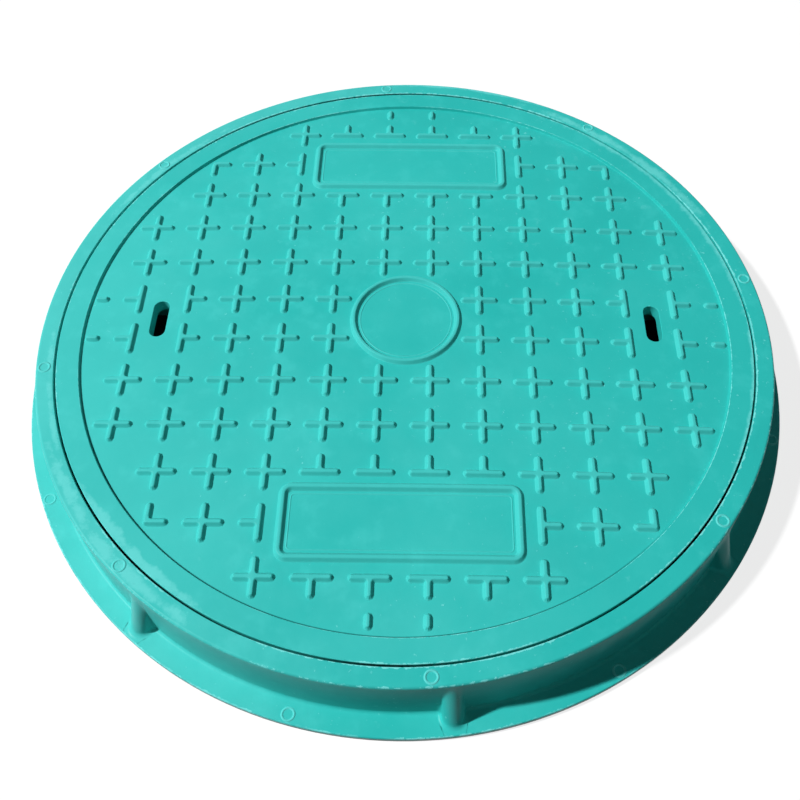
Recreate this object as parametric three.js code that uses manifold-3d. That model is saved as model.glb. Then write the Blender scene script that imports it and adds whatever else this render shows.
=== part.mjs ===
// A round moulded resin manhole cover: a ribbed lid that lies on a sealing ring in a flanged frame.
// Steel bars lie inside the lid's ribs and inside the frame, as they do in the moulding.
// Millimetres, +Z up. The origin is on the ground, at the centre of the frame's foot.

import * as THREE from "three";
import { mergeVertices } from "three/addons/utils/BufferGeometryUtils.js";
import Module from "manifold-3d";

const wasm = await Module();
wasm.setup();

// Frame
const frameHeight = 75;
const flangeThickness = 8;
const flangeEdgeRound = 2.5;
const ledgeWidth = 24;
const wallLean = 3.5;
const wallFootFillet = 4;
const rimWidth = 19;
const rimOuterRound = 3;
const rimInnerChamfer = 1;
const seatWidth = 25;
const throatWall = 14;
const pocketWidth = 14;
const pocketCeiling = 10;
const pocketWebThickness = 8;
const frameTurn = THREE.MathUtils.degToRad(7.2);

// Buttresses round the outside of the frame
const buttressCount = 8;
const buttressWidth = 20;
const buttressReach = 17;
const buttressTopDrop = 10;
const websPerButtress = 4;

// Lid
const lidDiameter = 746;
const lidDepth = 45;
const lidGap = 2;
const lidDraft = 1.5;
const lidEdgeChamfer = 1.2;
const borderWidth = 24.7;
const borderDrop = 0.4;
const borderStepDraft = 1.2;
const crownRise = 6.9;
const domeDrop = 7.2;
const plateThickness = 12;
const skirtThickness = 28;

// Raised tread on the lid
const treadHeight = 4;
const crossPitch = 53.5;
const crossLength = 39.4;
const crossWidth = 5.6;
const dashLength = 16;
const sideDashInset = 11.25;
const endDashInset = 13.925;
const ringDiameter = 119;
const ringWidth = 6;
const panelLength = 234;
const panelHeight = 79;
const panelRidge = 7;
const panelCorner = 12;
const panelPlace = 239;

// Least gaps that the end of a cross's arm keeps to what it points at
const treadEdgeGap = 5;
const treadRingGap = 5;
const treadPanelGap = 8;
const treadSlotGap = 8;

// Lifting slots, each over one hollow between the ribs, counted outwards from the middle one
const slotCell = 3;
const slotInset = 1;
const slotLength = 48;
const slotWidth = 17;

// Ribs under the lid, as many each way, with a bar in each
const ribCount = 8;
const ribEdgeInset = 30;
const ribThickness = 16;
const barDiameter = 8;
const barCover = 5;
const hoopEndLap = 8;
const pinHoleDiameter = 5;

// Hoops in the frame
const rimHoopDepth = 15;

// Sealing ring
const sealThickness = 3;
const sealWidth = 20;
const sealSideGap = 0.8;

// Clearance between touching pieces, and how far a cut runs past the face that it opens
const contactGap = 0.3;
const overrun = 2;

// Facets
const roundSegments = 64;
const domeRings = 3;
const hoopSegments = 32;
const barSides = 8;
const holeSides = 6;
const arcSteps = 2;
const endSteps = 6;

// The frame's diameters, which follow the lid's
const recessDiameter = lidDiameter + 2 * lidGap;
const clearOpeningDiameter = recessDiameter - 2 * seatWidth;
const rimDiameter = recessDiameter + 2 * rimWidth;
const wallFootDiameter = rimDiameter + 2 * wallLean;
const flangeDiameter = wallFootDiameter + 2 * ledgeWidth;

// Levels, radii and places that follow from those sizes
const lidRadius = lidDiameter / 2;
const recessRadius = recessDiameter / 2;
const throatRadius = clearOpeningDiameter / 2;
const flangeRadius = flangeDiameter / 2;
const wallFootRadius = wallFootDiameter / 2;
const rimRadius = rimDiameter / 2;
const borderLevel = frameHeight - borderDrop;
const lidFoot = borderLevel - lidDepth;
const sealTop = lidFoot - contactGap;
const sealFoot = sealTop - sealThickness;
const seatLevel = sealFoot - contactGap;
const fieldRadius = lidRadius - borderWidth;
const crownLevel = borderLevel + crownRise;
const plateUnderside = fieldLevel(fieldRadius) - plateThickness;
const cellRadius = lidRadius - skirtThickness;
const ribPitch = (2 * (cellRadius - ribEdgeInset)) / (ribCount - 1);
const slotPlace = slotCell * ribPitch - slotInset;
const barRadius = barDiameter / 2;
const channelRadius = barRadius + contactGap;
const lowerBarLevel = lidFoot + barCover + barRadius;
const upperBarLevel = lowerBarLevel + barDiameter + contactGap;
const lidHoopLevel = upperBarLevel + barDiameter + contactGap;
const lidHoopRadius = lidRadius - skirtThickness / 2;
const barReach = lidHoopRadius + hoopEndLap - barRadius;
const rimHoopLevel = frameHeight - rimHoopDepth;
const rimHoopRadius = (recessRadius + rimRadius) / 2;
const seatHoopLevel = seatLevel / 2;
const seatHoopRadius = throatRadius + throatWall / 2;

// Height of the lid's surface between the crosses: a shallow dome that falls with the square of the radius.
function fieldLevel(radius) {
  return crownLevel - treadHeight - domeDrop * (radius / lidRadius) ** 2;
}

// The four quarters of the plan, as signs of x and y
const quarters = [[1, 1], [-1, 1], [-1, -1], [1, -1]];

// Joining and cutting

// Turns a closed geometry into a solid that can be joined and cut.
function solidOf(geometry) {
  const bare = new THREE.BufferGeometry();
  bare.setAttribute("position", geometry.getAttribute("position"));
  bare.setIndex(geometry.index);
  const merged = mergeVertices(bare);
  const mesh = new wasm.Mesh({
    numProp: 3,
    vertProperties: merged.attributes.position.array,
    triVerts: new Uint32Array(merged.index.array),
  });
  return new wasm.Manifold(mesh);
}

// Turns a solid back into a geometry with flat-shaded faces.
function geometryOf(solid) {
  const mesh = solid.getMesh();
  const shared = new THREE.BufferGeometry();
  shared.setAttribute("position", new THREE.BufferAttribute(mesh.vertProperties, mesh.numProp));
  shared.setIndex(new THREE.BufferAttribute(mesh.triVerts, 1));
  const flat = shared.toNonIndexed();
  flat.computeVertexNormals();
  return flat;
}

function joined(solids) {
  return wasm.Manifold.union(solids);
}

// Shapes

// Points of a circular arc in the plane of a profile, from one angle to another in quarter turns.
function arcPoints(centreX, centreY, radius, fromQuarter, toQuarter) {
  const points = [];
  for (let step = 0; step <= arcSteps; step++) {
    const quarter = THREE.MathUtils.lerp(fromQuarter, toQuarter, step / arcSteps);
    const angle = (quarter * Math.PI) / 2;
    points.push([centreX + radius * Math.cos(angle), centreY + radius * Math.sin(angle)]);
  }
  return points;
}

// Spins a profile of [radius, height] points about the Z axis, with a vertex on +X.
function spun(profile) {
  const points = profile.map(([radius, height]) => new THREE.Vector2(radius, height));
  return solidOf(
    new THREE.LatheGeometry(points, roundSegments, Math.PI / 2).rotateX(Math.PI / 2),
  );
}

// A ring of rectangular section about the Z axis.
function spunRing(innerRadius, outerRadius, foot, top) {
  return spun([
    [innerRadius, foot],
    [outerRadius, foot],
    [outerRadius, top],
    [innerRadius, top],
    [innerRadius, foot],
  ]);
}

// A block given by its size and its centre.
function block(length, width, height, x, y, z) {
  return solidOf(new THREE.BoxGeometry(length, width, height).translate(x, y, z));
}

// A round bar along X or along Y, centred on the given line.
function straightBar(radius, length, alongX, offset, level) {
  const bar = new THREE.CylinderGeometry(radius, radius, length, barSides);
  if (alongX) {
    bar.rotateZ(Math.PI / 2).translate(0, offset, level);
  } else {
    bar.translate(offset, 0, level);
  }
  return bar;
}

function hoopBar(hoopRadius, radius, level) {
  return new THREE.TorusGeometry(hoopRadius, radius, barSides, hoopSegments).translate(0, 0, level);
}

// An upright hole from below a foot up to a level.
function uprightHole(x, y, foot, top) {
  const radius = pinHoleDiameter / 2;
  const height = top - foot + overrun;
  const hole = new THREE.CylinderGeometry(radius, radius, height, holeSides);
  return solidOf(hole.rotateX(Math.PI / 2).translate(x, y, top - height / 2));
}

// A rectangle with round corners, centred on the origin, as an outline.
function roundedRectangle(length, height, corner) {
  const outline = new THREE.Shape();
  const x = length / 2 - corner;
  const y = height / 2 - corner;
  outline.absarc(x, y, corner, 0, Math.PI / 2);
  outline.absarc(-x, y, corner, Math.PI / 2, Math.PI);
  outline.absarc(-x, -y, corner, Math.PI, Math.PI * 1.5);
  outline.absarc(x, -y, corner, Math.PI * 1.5, Math.PI * 2);
  return outline;
}

// A plan outline carried upright from one level to another.
function upright(outline, foot, top, steps) {
  const options = { depth: top - foot, bevelEnabled: false, curveSegments: steps };
  return new THREE.ExtrudeGeometry(outline, options).translate(0, 0, foot);
}

// Frame: foot flange, outer wall, rim, recess with the seat, and throat, as one spun section.
function frameShell() {
  const flangeRound = arcPoints(
    flangeRadius - flangeEdgeRound,
    flangeThickness - flangeEdgeRound,
    flangeEdgeRound,
    0,
    1,
  );
  const footFillet = arcPoints(
    wallFootRadius + wallFootFillet,
    flangeThickness + wallFootFillet,
    wallFootFillet,
    3,
    2,
  );
  const rimRound = arcPoints(
    rimRadius - rimOuterRound,
    frameHeight - rimOuterRound,
    rimOuterRound,
    0,
    1,
  );
  return spun([
    [throatRadius, 0],
    [flangeRadius, 0],
    ...flangeRound,
    ...footFillet,
    ...rimRound,
    [recessRadius + rimInnerChamfer, frameHeight],
    [recessRadius, frameHeight - rimInnerChamfer],
    [recessRadius, seatLevel],
    [throatRadius, seatLevel],
    [throatRadius, 0],
  ]);
}

// Hollows under the seat, open to the ground, with a web between each and the next.
function seatPockets() {
  const pocketInner = throatRadius + throatWall;
  const pocketOuter = pocketInner + pocketWidth;
  const pocketTop = seatLevel - pocketCeiling;
  const groove = spunRing(pocketInner, pocketOuter, -overrun, pocketTop);
  const webCount = buttressCount * websPerButtress;
  const webs = [];
  for (let index = 0; index < webCount; index++) {
    const web = new THREE.BoxGeometry(
      pocketWidth + 2 * overrun,
      pocketWebThickness,
      pocketTop + 2 * overrun,
    );
    web.translate((pocketInner + pocketOuter) / 2, 0, pocketTop / 2);
    web.rotateZ((index * 2 * Math.PI) / webCount);
    webs.push(solidOf(web));
  }
  return groove.subtract(joined(webs));
}

// One buttress: a rib with upright sides and a half-round nose, which leans in as it rises and runs
// out into the wall below the rim.
function buttress() {
  const nose = wallFootRadius + buttressReach;
  const halfWidth = buttressWidth / 2;
  const plan = new THREE.Shape();
  plan.moveTo(rimHoopRadius, -halfWidth);
  plan.absarc(nose - halfWidth, 0, halfWidth, -Math.PI / 2, Math.PI / 2);
  plan.lineTo(rimHoopRadius, halfWidth);
  const foot = flangeThickness / 2;
  const top = frameHeight - buttressTopDrop;
  const lean = (nose - rimRadius) / (top - flangeThickness);
  const leaning = new THREE.Matrix4().set(
    1, 0, -lean, lean * flangeThickness,
    0, 1, 0, 0,
    0, 0, 1, 0,
    0, 0, 0, 1,
  );
  return solidOf(upright(plan, foot, top, 2 * endSteps).applyMatrix4(leaning));
}

// Channels for the frame's two hoops, each opened to the foot by the holes of its support pins.
function frameHoopChannels() {
  const cuts = [
    solidOf(hoopBar(rimHoopRadius, channelRadius, rimHoopLevel)),
    solidOf(hoopBar(seatHoopRadius, channelRadius, seatHoopLevel)),
  ];
  for (const [x, y] of quarters) {
    const share = Math.SQRT1_2;
    const rimPlace = rimHoopRadius * share;
    cuts.push(uprightHole(x * rimPlace, y * rimPlace, 0, rimHoopLevel));
    const seatPlace = seatHoopRadius * share;
    cuts.push(uprightHole(x * seatPlace, y * seatPlace, 0, seatHoopLevel));
  }
  return joined(cuts);
}

function frameSolid() {
  const buttresses = [];
  for (let index = 0; index < buttressCount; index++) {
    const degrees = (index * 360) / buttressCount;
    buttresses.push(buttress().rotate([0, 0, degrees]));
  }
  const outsideOfWall = spunRing(rimHoopRadius, flangeRadius, 0, frameHeight);
  return joined([frameShell(), joined(buttresses).intersect(outsideOfWall)])
    .subtract(seatPockets())
    .subtract(frameHoopChannels());
}

// Lid: domed field, raised border and skirt as one spun section, still solid below.
function lidBlank() {
  const dome = [];
  for (let ring = 0; ring <= domeRings; ring++) {
    const radius = (fieldRadius * ring) / domeRings;
    dome.unshift([radius, fieldLevel(radius)]);
  }
  return spun([
    [0, lidFoot],
    [lidRadius - lidDraft - lidEdgeChamfer, lidFoot],
    [lidRadius - lidDraft, lidFoot + lidEdgeChamfer],
    [lidRadius, borderLevel - lidEdgeChamfer],
    [lidRadius - lidEdgeChamfer, borderLevel],
    [fieldRadius + borderStepDraft, borderLevel],
    ...dome,
  ]);
}

// Distances from the lid's centre line to the ribs, which are spaced evenly about it.
function ribOffsets() {
  const offsets = [];
  for (let index = 0; index < ribCount; index++) {
    offsets.push((index - (ribCount - 1) / 2) * ribPitch);
  }
  return offsets;
}

// The hollows between the ribs. Slivers beside the skirt, which a mould wouldn't form, stay solid.
function ribCells() {
  const depth = plateUnderside - lidFoot;
  const middle = (plateUnderside + lidFoot) / 2;
  const height = depth + 2 * overrun;
  const ribs = [];
  for (const offset of ribOffsets()) {
    ribs.push(block(lidDiameter, ribThickness, height, 0, offset, middle));
    ribs.push(block(ribThickness, lidDiameter, height, offset, 0, middle));
  }
  const hollow = spun([
    [0, lidFoot - overrun],
    [cellRadius, lidFoot - overrun],
    [cellRadius, plateUnderside],
    [0, plateUnderside],
  ]);
  const cells = hollow.subtract(joined(ribs)).decompose();
  const smallest = ribThickness ** 2 * depth;
  return joined(cells.filter((cell) => cell.volume() > smallest));
}

// Half the length of a bar that lies at an offset and ends on the circle of the hoop.
function barHalfLength(offset) {
  return Math.sqrt(barReach ** 2 - offset ** 2);
}

// Channels for the lid's cage. The lower bars lie on support pins, whose holes open the channels
// to the foot. The upper bars lie on the lower ones, and the hoop lies on the upper ones.
function lidBarChannels() {
  const cuts = [solidOf(hoopBar(lidHoopRadius, channelRadius, lidHoopLevel))];
  for (const offset of ribOffsets()) {
    const length = 2 * (barHalfLength(offset) + contactGap);
    cuts.push(solidOf(straightBar(channelRadius, length, true, offset, lowerBarLevel)));
    cuts.push(solidOf(straightBar(channelRadius, length, false, offset, upperBarLevel)));
    for (const side of [-1, 1]) {
      cuts.push(uprightHole(side * ribPitch, offset, lidFoot, lowerBarLevel));
    }
  }
  return joined(cuts);
}

// Raised tread

// The four ways in which a cross's arms point, walked anticlockwise
const armDirections = [[1, 0], [0, 1], [-1, 0], [0, -1]];

// How far a point where x and y are positive lies outside the bare panel there.
function panelDistance(x, y) {
  const beyondX = Math.max(x - panelLength / 2, 0);
  const beyondY = Math.max(Math.abs(y - panelPlace) - panelHeight / 2, 0);
  return Math.hypot(beyondX, beyondY);
}

// The same for the lifting slot.
function slotDistance(x, y) {
  const beyondY = Math.max(y - (slotLength - slotWidth) / 2, 0);
  return Math.hypot(x - slotPlace, beyondY) - slotWidth / 2;
}

function insideBorder(x, y) {
  return fieldRadius - Math.hypot(x, y) > treadEdgeGap;
}

function clearOfFeatures(x, y) {
  return (
    Math.hypot(x, y) - ringDiameter / 2 > treadRingGap &&
    panelDistance(x, y) > treadPanelGap &&
    slotDistance(x, y) > treadSlotGap
  );
}

// Crosses in the quarter of the lid where x and y are positive, at odd half pitches. A cross has its
// middle on the field, and keeps each arm whose end is clear of the border and of what is on the field.
function crossPlaces() {
  const places = [];
  for (let x = crossPitch / 2; x < fieldRadius; x += crossPitch) {
    for (let y = crossPitch / 2; y < fieldRadius; y += crossPitch) {
      const arms = armDirections.map(([alongX, alongY]) => {
        const endX = x + (alongX * crossLength) / 2;
        const endY = y + (alongY * crossLength) / 2;
        return insideBorder(endX, endY) && clearOfFeatures(endX, endY);
      });
      if (insideBorder(x, y) && arms.includes(true)) {
        places.push({ x, y, arms });
      }
    }
  }
  return places;
}

// The outline of a cross, walked anticlockwise. The corner between two arms is a point of its own
// only where both arms are there, or neither is.
function crossOutline(x, y, arms) {
  const halfWidth = crossWidth / 2;
  const halfLength = crossLength / 2;
  const points = [];
  armDirections.forEach(([alongX, alongY], index) => {
    const next = (index + 1) % armDirections.length;
    const [nextX, nextY] = armDirections[next];
    if (arms[index]) {
      const endX = x + alongX * halfLength;
      const endY = y + alongY * halfLength;
      points.push([endX + alongY * halfWidth, endY - alongX * halfWidth]);
      points.push([endX - alongY * halfWidth, endY + alongX * halfWidth]);
    }
    if (arms[index] === arms[next]) {
      points.push([x + (alongX + nextX) * halfWidth, y + (alongY + nextY) * halfWidth]);
    }
  });
  return new THREE.Shape(points.map(([pointX, pointY]) => new THREE.Vector2(pointX, pointY)));
}

function rectangle(length, height, x, y) {
  const outline = new THREE.Shape();
  outline.moveTo(x - length / 2, y - height / 2);
  outline.lineTo(x + length / 2, y - height / 2);
  outline.lineTo(x + length / 2, y + height / 2);
  outline.lineTo(x - length / 2, y + height / 2);
  return outline;
}

// Raises an outline from inside the plate to the tread's height over the dome at a given radius.
function raised(outline, radius) {
  const foot = plateUnderside + plateThickness / 2;
  return solidOf(upright(outline, foot, fieldLevel(radius) + treadHeight, arcSteps));
}

function cross({ x, y, arms }) {
  return raised(crossOutline(x, y, arms), Math.hypot(x, y));
}

// Short dashes between the outermost crosses and the border, on both sides of each centre line.
function dashes() {
  const besideLine = crossPitch / 2;
  const sideX = fieldRadius - sideDashInset;
  const endY = fieldRadius - endDashInset;
  return [
    raised(rectangle(dashLength, crossWidth, sideX, besideLine), Math.hypot(sideX, besideLine)),
    raised(rectangle(crossWidth, dashLength, besideLine, endY), Math.hypot(besideLine, endY)),
  ];
}

function centreRing() {
  const outer = ringDiameter / 2;
  const foot = plateUnderside + plateThickness / 2;
  return spunRing(outer - ringWidth, outer, foot, fieldLevel(outer) + treadHeight);
}

// A raised ridge round a bare panel.
function panelFrame(side) {
  const outline = roundedRectangle(panelLength, panelHeight, panelCorner);
  const innerLength = panelLength - 2 * panelRidge;
  const innerHeight = panelHeight - 2 * panelRidge;
  outline.holes.push(roundedRectangle(innerLength, innerHeight, panelCorner - panelRidge / 2));
  return raised(outline, panelPlace).translate([0, side * panelPlace, 0]);
}

function tread() {
  const quarter = [...crossPlaces().map(cross), ...dashes()];
  const pieces = [centreRing(), panelFrame(1), panelFrame(-1)];
  for (const [sideX, sideY] of quarters) {
    pieces.push(...quarter.map((piece) => piece.scale([sideX, sideY, 1])));
  }
  return joined(pieces);
}

function liftingSlots() {
  const slots = [];
  for (const side of [-1, 1]) {
    const outline = roundedRectangle(slotWidth, slotLength, slotWidth / 2);
    const slot = upright(outline, lidFoot, crownLevel + overrun, endSteps / 2);
    slots.push(solidOf(slot.translate(side * slotPlace, 0, 0)));
  }
  return joined(slots);
}

function lidSolid() {
  return joined([lidBlank(), tread()])
    .subtract(ribCells())
    .subtract(lidBarChannels())
    .subtract(liftingSlots());
}

function sealSolid() {
  const outer = recessRadius - sealSideGap;
  return spunRing(outer - sealWidth, outer, sealFoot, sealTop);
}

// Materials
const resin = new THREE.MeshStandardMaterial({ color: 0x35bdb2, roughness: 0.35, metalness: 0 });
const rubber = new THREE.MeshStandardMaterial({ color: 0x202224, roughness: 0.85, metalness: 0 });
const steel = new THREE.MeshStandardMaterial({ color: 0x77736c, roughness: 0.55, metalness: 0.9 });

// Assembly
const cover = new THREE.Group();

function place(parent, name, geometry, material) {
  const mesh = new THREE.Mesh(geometry, material);
  mesh.name = name;
  parent.add(mesh);
}

// The frame stands turned against the lid's rows of crosses, as a round lid lets it.
const frameGroup = new THREE.Group();
frameGroup.rotation.z = frameTurn;
cover.add(frameGroup);
place(frameGroup, "frame", geometryOf(frameSolid()), resin);
place(frameGroup, "frame_rim_hoop", hoopBar(rimHoopRadius, barRadius, rimHoopLevel), steel);
place(frameGroup, "frame_seat_hoop", hoopBar(seatHoopRadius, barRadius, seatHoopLevel), steel);

place(cover, "seal_ring", geometryOf(sealSolid()), rubber);

const lidGroup = new THREE.Group();
cover.add(lidGroup);
place(lidGroup, "lid", geometryOf(lidSolid()), resin);
place(lidGroup, "lid_hoop", hoopBar(lidHoopRadius, barRadius, lidHoopLevel), steel);
ribOffsets().forEach((offset, index) => {
  const length = 2 * barHalfLength(offset);
  const number = index + 1;
  const lower = straightBar(barRadius, length, true, offset, lowerBarLevel);
  const upper = straightBar(barRadius, length, false, offset, upperBarLevel);
  place(lidGroup, `lid_lower_bar_${number}`, lower, steel);
  place(lidGroup, `lid_upper_bar_${number}`, upper, steel);
});

export default cover;
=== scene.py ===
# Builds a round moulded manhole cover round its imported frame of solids: the flanged frame with its
# buttresses, the sealing ring, and the ribbed lid with its raised tread. Lengths are in metres.
import math

import bpy
import numpy as np
from bpy.props import FloatProperty, FloatVectorProperty, IntProperty, PointerProperty
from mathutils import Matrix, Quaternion, Vector


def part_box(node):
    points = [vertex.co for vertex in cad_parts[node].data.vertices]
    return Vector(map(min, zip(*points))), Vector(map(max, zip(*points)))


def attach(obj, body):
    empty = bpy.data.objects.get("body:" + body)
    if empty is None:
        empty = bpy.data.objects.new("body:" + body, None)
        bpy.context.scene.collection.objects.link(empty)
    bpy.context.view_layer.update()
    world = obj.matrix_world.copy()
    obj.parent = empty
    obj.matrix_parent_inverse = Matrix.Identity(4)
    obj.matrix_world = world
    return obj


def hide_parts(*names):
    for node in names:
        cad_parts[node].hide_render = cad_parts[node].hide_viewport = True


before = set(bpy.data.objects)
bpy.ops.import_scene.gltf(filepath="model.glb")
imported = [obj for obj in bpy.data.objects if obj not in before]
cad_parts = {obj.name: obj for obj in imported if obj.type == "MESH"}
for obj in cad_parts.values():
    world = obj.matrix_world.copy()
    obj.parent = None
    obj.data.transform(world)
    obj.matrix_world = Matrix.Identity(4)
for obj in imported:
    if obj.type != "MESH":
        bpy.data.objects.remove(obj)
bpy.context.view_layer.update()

bl_info = {
    "name": "Manhole cover",
    "version": (1, 0, 0),
    "blender": (4, 5, 0),
    "location": "View3D > Sidebar > Manhole cover",
    "description": "Builds a round moulded manhole cover with its frame and sealing ring",
    "category": "Add Mesh",
}

MM = 0.001
FRAME_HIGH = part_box("frame")[1]
SEAL_LOW, SEAL_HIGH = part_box("seal_ring")
LID_LOW, LID_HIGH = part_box("lid")
STEEL_NODES = [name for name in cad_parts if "hoop" in name or "bar" in name]

# Degrees round the frame at which the ejector pins left marks on its rim and on its flange
RIM_MARKS = (9.5, 54, 95, 142, 190, 228, 274.5, 322.5)
FLANGE_MARKS = (30, 75, 120, 165, 207, 256, 300, 345)

# How far in from the flange's edge its marks lie, as a share of its width
FLANGE_MARK_SHARE = 0.36

# Where the rim and the lid's border are rubbed pale: degrees, half the span in degrees, how far from the
# gap between them, and width. Then the side of the painted sheen, paler toward the lamp, in degrees, and its
# share.
RUBBED_RIM = (
    (222, 26, 9 * MM, 14 * MM),
    (195, 20, 4 * MM, 8 * MM),
    (45, 26, 5 * MM, 10 * MM),
    (80, 22, 16 * MM, 6 * MM),
    (142, 20, 5 * MM, 9 * MM),
)
RUBBED_BORDER = ((228, 20, 4 * MM, 12 * MM), (30, 36, 1 * MM, 8 * MM), (345, 22, 1 * MM, 5 * MM))
FRAME_SHEEN = (172, 0.26)
LID_SHEEN = (205, 0.15)

# How pale the pieces that stand proud are made: rubbed wear on the ejector marks, and on the tread a painted
# highlight all over. Then how far chips reach from an edge; along the lid's step they are partly a painted
# highlight.
MARKS_RUBBED = 0.5
TREAD_HIGHLIGHT = 0.21
CHIP_REACH = 3 * MM
STEP_CHIP_AND_HIGHLIGHT_REACH = 1 * MM

# Where the pigment's pattern is moved to, so that the frame's isn't the lid's
FRAME_SEED = 3.1
LID_SEED = 0.0

# Side on which painted shade darkens the lid's crease, in degrees
CREASE_SIDE = 255

# Edges that turn by more than this stay crisp
CRISP_ANGLE = math.radians(32)

# Depth of the support pins' holes in the lid's ribs
PIN_HOLE_DEPTH = 9 * MM

# The four ways in which a cross's arms point, walked anticlockwise
ARMS = ((1, 0), (0, 1), (-1, 0), (0, -1))


# Sizes and colours that a user would change


def length(name, description, default):
    return FloatProperty(
        name=name, description=description, default=default, min=0.0, precision=5, subtype="DISTANCE"
    )


def colour(name, description, default):
    return FloatVectorProperty(
        name=name, description=description, default=default, min=0.0, max=1.0, size=3, subtype="COLOR"
    )


def angle_in_degrees(name, description, degrees):
    return FloatProperty(name=name, description=description, default=math.radians(degrees), subtype="ANGLE")


def number(name, description, default, subtype="NONE"):
    return FloatProperty(name=name, description=description, default=default, subtype=subtype)


def point(name, description, default):
    return FloatVectorProperty(name=name, description=description, default=default, subtype="TRANSLATION")


class FrameSizes(bpy.types.PropertyGroup):
    height: length("Height", "From the ground to the rim", FRAME_HIGH.z)
    flange_radius: length("Flange radius", "Outer radius of the foot flange", FRAME_HIGH.x)
    flange_thickness: length("Flange thickness", "Thickness of the foot flange", 8 * MM)
    flange_round: length("Flange round", "Round along the flange's upper edge", 1.6 * MM)
    foot_round: length("Foot round", "Small round along the edges on the ground", 0.6 * MM)
    wall_foot_radius: length("Wall foot radius", "Outer radius of the wall above the flange", 397.5 * MM)
    wall_foot_fillet: length("Wall foot fillet", "Fillet between wall and flange", 4 * MM)
    rim_radius: length("Rim radius", "Outer radius of the rim", 394 * MM)
    rim_round: length("Rim round", "Round along the rim's outer edge", 3 * MM)
    recess_radius: length("Recess radius", "Radius of the recess that holds the lid", 375 * MM)
    recess_round: length("Recess round", "Round along the rim's inner edge", 0.8 * MM)
    seat_level: length("Seat level", "Height of the seat in the recess", SEAL_LOW.z - 0.3 * MM)
    seat_fillet: length("Seat fillet", "Fillet between the seat and the recess", 1.5 * MM)
    throat_radius: length("Throat radius", "Radius of the clear opening", 350 * MM)
    throat_wall: length("Throat wall", "Wall between the throat and the hollows under the seat", 14 * MM)
    pocket_width: length("Hollow width", "Width of the hollows under the seat", 14 * MM)
    pocket_ceiling: length("Hollow ceiling", "Material between the seat and the hollows", 10 * MM)
    web_thickness: length("Web thickness", "Thickness of the webs between the hollows", 8 * MM)
    pin_hole_radius: length("Pin hole radius", "Radius of the support pins' holes", 2.5 * MM)
    turn: angle_in_degrees("Turn", "How far the frame stands turned against the lid's rows", 7.2)
    mark_radius: length("Mark radius", "Outer radius of the ejector pins' marks", 6.8 * MM)
    mark_width: length("Mark width", "Width of the ridge round an ejector pin's mark", 2.3 * MM)
    mark_height: length("Mark height", "Height of the ejector pins' marks", 0.7 * MM)


class ButtressSizes(bpy.types.PropertyGroup):
    count: IntProperty(name="Count", description="Buttresses round the frame", default=8, min=1)
    width: length("Width", "Width between a buttress's sides", 20.4 * MM)
    reach: length("Reach", "How far the nose stands out from the wall's foot", 17 * MM)
    root_fillet: length("Root fillet", "Fillet between a buttress's side and the wall", 5 * MM)
    top_drop: length("Top drop", "How far below the rim a buttress runs out into the wall", 10 * MM)
    crest_blend: length("Crest blend", "Softness of the line where a buttress leaves the wall", 1.5 * MM)


class LidSizes(bpy.types.PropertyGroup):
    radius: length("Radius", "Outer radius of the lid", LID_HIGH.x)
    border_level: length("Border level", "Height of the raised border's top", 74.6 * MM)
    border_width: length("Border width", "Width of the raised border", 24.7 * MM)
    step_draft: length("Step draft", "Slope of the step from the field to the border", 1.2 * MM)
    step_fillet: length("Step fillet", "Fillet at the foot of that step", 0.6 * MM)
    step_round: length("Step round", "Round at the top of that step", 0.6 * MM)
    edge_round: length("Edge round", "Round along the lid's outer edges", 1 * MM)
    side_draft: length("Side draft", "How much narrower the lid is at its foot", 1.5 * MM)
    crown_level: length("Crown level", "Height that the tread would have at the very middle", 81.45 * MM)
    dome_drop: length("Dome drop", "Fall of the domed field from the middle to the lid's edge", 7.2 * MM)
    plate_thickness: length("Plate thickness", "Thickness of the plate at the field's edge", 12 * MM)
    skirt_thickness: length("Skirt thickness", "Thickness of the skirt round the ribs", 28 * MM)
    rib_count: IntProperty(name="Ribs", description="Ribs each way under the lid", default=8, min=2)
    rib_edge_inset: length("Rib inset", "From the skirt's inside to the outermost rib", 30 * MM)
    rib_thickness: length("Rib thickness", "Thickness of a rib", 16 * MM)
    rib_draft: length("Rib draft", "How much narrower a rib is at its foot, on each side", 0.8 * MM)
    rib_fillet: length("Rib fillet", "Fillet between a rib and the plate", 4 * MM)
    rib_round: length("Rib round", "Round along a rib's foot", 1.2 * MM)
    slot_place: length("Slot place", "Distance of the lifting slots from the middle", 269 * MM)
    slot_length: length("Slot length", "Length of a lifting slot", 48 * MM)
    slot_width: length("Slot width", "Width of a lifting slot", 17 * MM)
    slot_flare: length("Slot flare", "Round along a slot's upper edge", 0.9 * MM)


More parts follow.
